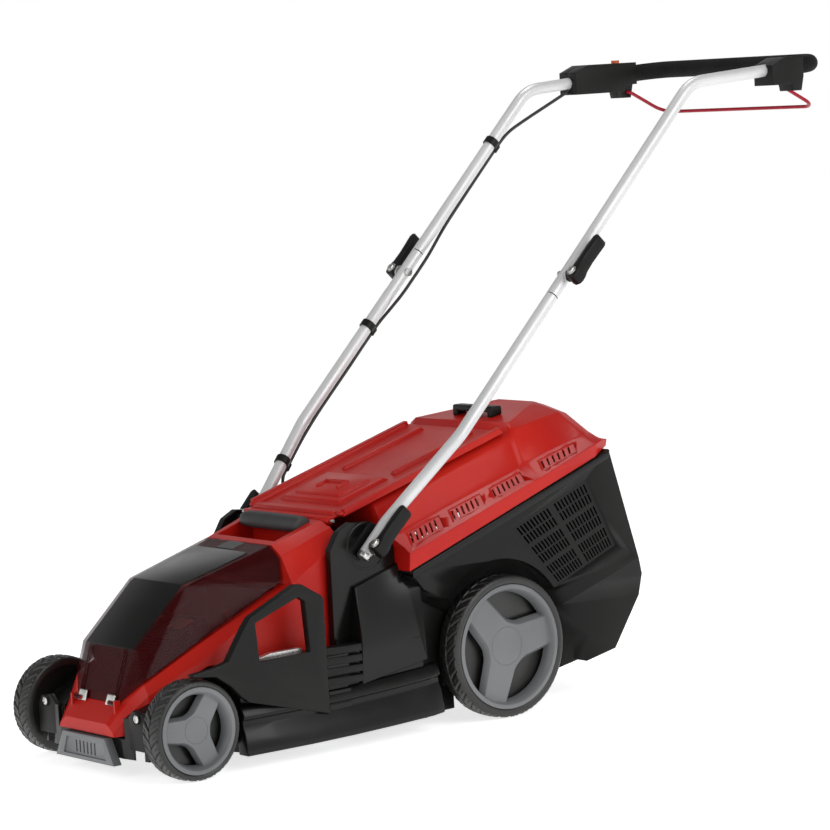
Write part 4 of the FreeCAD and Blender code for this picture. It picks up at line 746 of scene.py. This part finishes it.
def make_battery_ribs():
    """Grip ribs over each pack's front and top, seen through the lid."""
    slope = math.radians(20.0)
    first_rib, rib_pitch, rib_margin = 14.0, 9.0, 8
    for hand in ("left", "right"):
        low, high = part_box(f"battery_pack_{hand}")
        ribs = []
        for number in range(5):
            along = first_rib + number * rib_pitch
            x_low, x_high = low.x / MM + rib_margin, high.x / MM - rib_margin
            top = Vector((-math.sin(slope), math.cos(slope))) * 60.0
            run = Vector((math.cos(slope), math.sin(slope)))
            corner = Vector((low.y / MM - FRONT_AXLE_Y / MM + 60.0 * math.sin(slope), low.z / MM))
            spot = corner + top + run * along
            rise = top.normalized() * 2.0
            lower = [at(x_low, *(spot - rise * 0.3)), at(x_high, *(spot - rise * 0.3)),
                     at(x_high, *(spot + run * 5.0 - rise * 0.3)), at(x_low, *(spot + run * 5.0 - rise * 0.3))]
            upper = [at(x_low + 1, *(spot + run * 1.0 + rise)), at(x_high - 1, *(spot + run * 1.0 + rise)),
                     at(x_high - 1, *(spot + run * 4.0 + rise)), at(x_low + 1, *(spot + run * 4.0 + rise))]
            ribs.append(solid_between("rib", lower, upper))
        made = joined(f"battery_ribs_{hand}", ribs)
        smooth(made)
        settle(made, "black", f"battery_{hand}", "black_plastic")


# ---- softened mouldings ------------------------------------------------------------------------

def softened(node, width, finish, body, slot):
    """A copy of a CAD node with its edges truly rounded."""
    source = NODES[node]
    made = bpy.data.objects.new(node + "_rounded", source.data.copy())
    bpy.context.scene.collection.objects.link(made)
    bm = bmesh.new()
    bm.from_mesh(made.data)
    bmesh.ops.remove_doubles(bm, verts=bm.verts, dist=1e-5)
    bmesh.ops.dissolve_limit(bm, angle_limit=math.radians(1.0), verts=bm.verts, edges=bm.edges)
    bm.to_mesh(made.data)
    bm.free()
    bevelled(made, width, 3, 28.0)
    smooth(made, 40.0)
    settle(made, finish, body, slot, node)


# ---- nose cheeks and rear quarters -------------------------------------------------------------

def cheek(name):
    """The black front face beside the hood's nose, with a round boss for its screw."""
    outline = [(92, 44), (150, 44), (150, 86), (140, 102), (112, 106), (97, 92)]
    plate = solid_between("cheek", [at(x, -50.0, z) for x, z in outline],
                          [at(121 + (x - 121) * 0.97, -57.5, 74 + (z - 74) * 0.97) for x, z in outline])
    bevelled(plate, 1.5, 3)
    boss = lathe_y("boss", (125.0, 94.0), [(-50.0, 0.2), (-50.0, 8.5), (-60.0, 8.5), (-61.0, 7.5),
                                           (-59.5, 6.6), (-59.5, 0.2)])
    made = joined(name, [plate, boss])
    smooth(made, 35.0)
    return made


def lathe_y(name, centre, profile, steps=32):
    """A turned piece about a line along Y from a (y, r) profile."""
    points, faces = [], []
    size = len(profile)
    for step in range(steps):
        angle = 2 * math.pi * step / steps
        points += [at(centre[0] + r * math.cos(angle), y, centre[1] + r * math.sin(angle)) for y, r in profile]
        following = (step + 1) % steps
        for k in range(size):
            after = (k + 1) % size
            faces.append((step * size + k, step * size + after,
                          following * size + after, following * size + k))
    made = mesh_object(name, points, faces)
    face_outwards(made)
    return made


def cheek_screw(name):
    """A small screw head on the wheel cheek."""
    made = lathe_y(name, (125.0, 94.0), [(-58.0, 0.2), (-58.0, 6.2), (-60.6, 6.2), (-61.8, 4.6), (-62.0, 3.0),
                                         (-60.6, 2.4), (-60.6, 0.2)])
    smooth(made, 35.0)
    return made


def rear_quarter(name):
    """The deck's rear quarter, which closes the side between the tower and the rear wheel."""
    outline = [(432, 50), (432, 214), (446, 208), (472, 190), (520, 168), (520, 66)]
    made = plate_x(name, outline, 150.0, 158.0, [(y + (2 if y < 500 else -2), z) for y, z in outline])
    bevelled(made, 1.5, 3)
    smooth(made)
    return made


# ---- carry bar ---------------------------------------------------------------------------------

def make_carry_bar():
    """The rounded, grained bar that spans the hood's recess."""
    section = [(284, 324), (283, 334), (286, 342), (293, 346.5), (304, 347), (313, 343.5), (317.5, 337),
               (317, 328), (311, 322), (292, 320)]
    ends = ((-76, 0.86), (-72, 1.0), (72, 1.0), (76, 0.86))
    middle_y, middle_z = 300.0, 334.0
    points = []
    for x, share in ends:
        points += [at(x, middle_y + (y - middle_y) * share, middle_z + (z - middle_z) * share)
                   for y, z in section]
    size = len(section)
    faces = [tuple(range(size)), tuple(reversed(range(3 * size, 4 * size)))]
    for k in range(3):
        for i in range(size):
            j = (i + 1) % size
            faces.append((k * size + i, (k + 1) * size + i, (k + 1) * size + j, k * size + j))
    bar = mesh_object("carry_bar", points, faces)
    face_outwards(bar)
    modifier = bar.modifiers.new("round", "SUBSURF")
    modifier.levels = 2
    applied(bar)
    smooth(bar, 60.0)
    settle(bar, "handle_grey", "chassis", "grip_grey", "carry_handle")


# ---- cam levers --------------------------------------------------------------------------------

def turned_place(spot, way, along, out, across):
    """A place near a clamp: along the tube, outwards and across it."""
    return at(spot[0] + out, spot[1] + way[0] * along - way[1] * across,
              spot[2] + way[1] * along + way[0] * across)


def cam_lever(name, hub, way):
    """A curved black lever with a rounded end and a round hub."""
    outline = [(-12, 2), (-9, 9.5), (-2, 12), (6, 11.5), (16, 8), (34, 6.8), (54, 8.2), (70, 9.5), (76.5, 6),
               (77, 1), (72, -3.2), (52, -5), (30, -4.5), (12, -6), (4, -11.5), (-4, -11.5), (-10, -7)]
    lower = [turned_place(hub, way, a, o, -11.0) for a, o in outline]
    upper = [turned_place(hub, way, a, o, 11.0) for a, o in outline]
    lever = solid_between(name, lower, upper)
    bevelled(lever, 2.2, 3)
    smooth(lever, 40.0)
    return lever


def clamp_nut(name, hub, way):
    """The plated nut and washer at the hub's end."""
    def outline(radius, across, corners):
        return [turned_place(hub, way, radius * math.cos(2 * math.pi * k / corners),
                             radius * math.sin(2 * math.pi * k / corners), across) for k in range(corners)]
    washer = solid_between(name + "_washer", outline(8.5, 11.2, 32), outline(8.5, 12.4, 32))
    nut = solid_between(name + "_hexagon", outline(6.6, 12.4, 6), outline(6.2, 15.4, 6))
    bevelled(nut, 0.5, 2)
    made = joined(name, [washer, nut])
    smooth(made)
    return made


def make_levers():
    """The four cam levers and their nuts."""
    def unit(a, b):
        size = math.hypot(a, b)
        return a / size, b / size
    clamps = {"pivot": ((191.3, 356.0, 298.0), unit(159.0, 156.5)),
              "joint": ((230.3, 744.5, 682.5), unit(287.5, 288.5))}
    for place, (hub, way) in clamps.items():
        left = cam_lever(f"{place}_lever_left", hub, way)
        nut = clamp_nut(f"{place}_nut_left", hub, way)
        settle(mirrored(left, f"{place}_lever_right"), "black", f"{place}_lever_right", "black_plastic",
               f"{place}_cam_lever_right")
        settle(mirrored(nut, f"{place}_nut_right"), "zinc", "lower_handle", "zinc")
        settle(left, "black", f"{place}_lever_left", "black_plastic", f"{place}_cam_lever_left")
        settle(nut, "zinc", "lower_handle", "zinc")


def tube_trim(name):
    """A plated cap on the lower tube's foot."""
    way = Vector((0.0, 159.0, 156.5)).normalized()
    start = Vector((167.0, 356.0, 298.0)) - way * 20.6
    side = Vector((1.0, 0.0, 0.0))
    across = way.cross(side)
    profile = [(-1.6, 0.2), (-1.6, 8.6), (0.0, 10.2), (3.0, 10.5),
               (7.0, 10.5), (7.0, 9.9), (2.0, 9.9), (0.4, 0.2)]
    points, faces = [], []
    size, steps = len(profile), 40
    for step in range(steps):
        angle = 2 * math.pi * step / steps
        for reach, radius in profile:
            spot = start + way * reach + (side * math.cos(angle) + across * math.sin(angle)) * radius
            points.append(at(*spot))
        following = (step + 1) % steps
        for k in range(size):
            after = (k + 1) % size
            faces.append((step * size + k, step * size + after,
                          following * size + after, following * size + k))
    made = mesh_object(name, points, faces)
    face_outwards(made)
    smooth(made, 35.0)
    return made


# ---- cable loop --------------------------------------------------------------------------------

CABLE_RADIUS = 2.75
TAIL_ROUTE = [(-185.3, 458.6, 379.3), (-183.5, 453.0, 373.8), (-181.0, 450.5, 358.0),
              (-176.5, 444.0, 347.0), (-166.0, 425.0, 342.8), (-156.0, 404.0, 343.6),
              (-147.5, 384.0, 344.0), (-141.5, 366.0, 342.0),
              (-137.0, 354.0, 331.0), (-134.5, 350.5, 312.0), (-134.0, 351.0, 292.0)]


def make_cable_loop():
    """The slack loop between the handle's clip and the tower."""
    curve = bpy.data.curves.new("cable_loop", "CURVE")
    curve.dimensions = "3D"
    curve.bevel_depth, curve.bevel_resolution = CABLE_RADIUS * MM, 5
    curve.use_fill_caps = True
    spline = curve.splines.new("NURBS")
    spline.points.add(len(TAIL_ROUTE) - 1)
    for point, spot in zip(spline.points, TAIL_ROUTE):
        point.co = (*at(*spot), 1)
    spline.order_u = 3
    spline.use_endpoint_u = True
    spline.resolution_u = 10
    holder = bpy.data.objects.new("cable_loop_curve", curve)
    bpy.context.scene.collection.objects.link(holder)
    graph = bpy.context.evaluated_depsgraph_get()
    data = bpy.data.meshes.new_from_object(holder.evaluated_get(graph))
    bpy.data.objects.remove(holder)
    loop = bpy.data.objects.new("cable_loop", data)
    bpy.context.scene.collection.objects.link(loop)
    smooth(loop, 50.0)
    data.materials.clear()
    data.materials.append(FINISH["cable"])
    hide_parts("cable_tail")
    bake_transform(loop)


# ---- CAD nodes that keep their shape -----------------------------------------------------------

KEPT = {
    "red": ("hood",),
    "gloss_black": ("deck_housing", "axle_bushes", "lid_latch"),
    "black": ("battery_pack_left", "battery_pack_right", "controller", "motor_housing",
              "cable_clip_upper", "cable_clips_lower"),
    "smoke": ("battery_lid",),
    "bay": ("battery_tray",),
    "orange": ("battery_button_left", "battery_button_right", "lock_off_button", "safety_key"),
    "zinc": ("front_crank_axle", "rear_crank_axle", "front_axle_nuts", "rear_axle_nuts", "height_link_rod",
             "handle_bolts", "cam_washers", "flap_hinge_pin", "height_release_lever", "lift_spring",
             "blade_bolt"),
    "steel": ("blade", "motor_rotor", "blade_carrier"),
    "silver": ("lower_tube_left", "lower_tube_right", "upper_handle_tube"),
    "foam": ("foam_grip",),
    "dark_red": ("bail",),
    "cable": ("cable_upper", "cable_lower"),
}


def finish_kept_nodes():
    """Gives each CAD node that keeps its shape its material."""
    for finish, names in KEPT.items():
        for name in names:
            data = NODES[name].data
            data.materials.clear()
            data.materials.append(FINISH[finish])


make_camera()
FINISH = make_finishes()
make_studio()
finish_kept_nodes()
make_wheels()
make_lid_top()
make_box_body()
make_flap()
make_deck_sides()
make_carry_bar()
make_lid_details()
make_battery_ribs()
softened("height_grip", 2.6, "black", "chassis", "black_plastic")
softened("front_bumper", 1.4, "grey", "chassis", "bumper_grey")
softened("switch_housing_inner", 4.0, "black", "upper_handle", "black_plastic")
softened("switch_housing_outer", 4.0, "black", "upper_handle", "black_plastic")
softened("bail_clip", 4.0, "black", "upper_handle", "black_plastic")
softened("grass_box_handle", 2.5, "black", "grass_box", "black_plastic")
softened("rear_flap", 1.5, "red", "flap", "hood_red")
both_hands(cheek, "nose_cheek", "black", "chassis", "black_plastic")
both_hands(cheek_screw, "cheek_screw", "zinc", "chassis", "zinc")
both_hands(rear_quarter, "rear_quarter", "black", "chassis", "black_plastic")
both_hands(tube_trim, "tube_foot_cap", "zinc", "lower_handle", "zinc")
make_levers()
make_cable_loop()
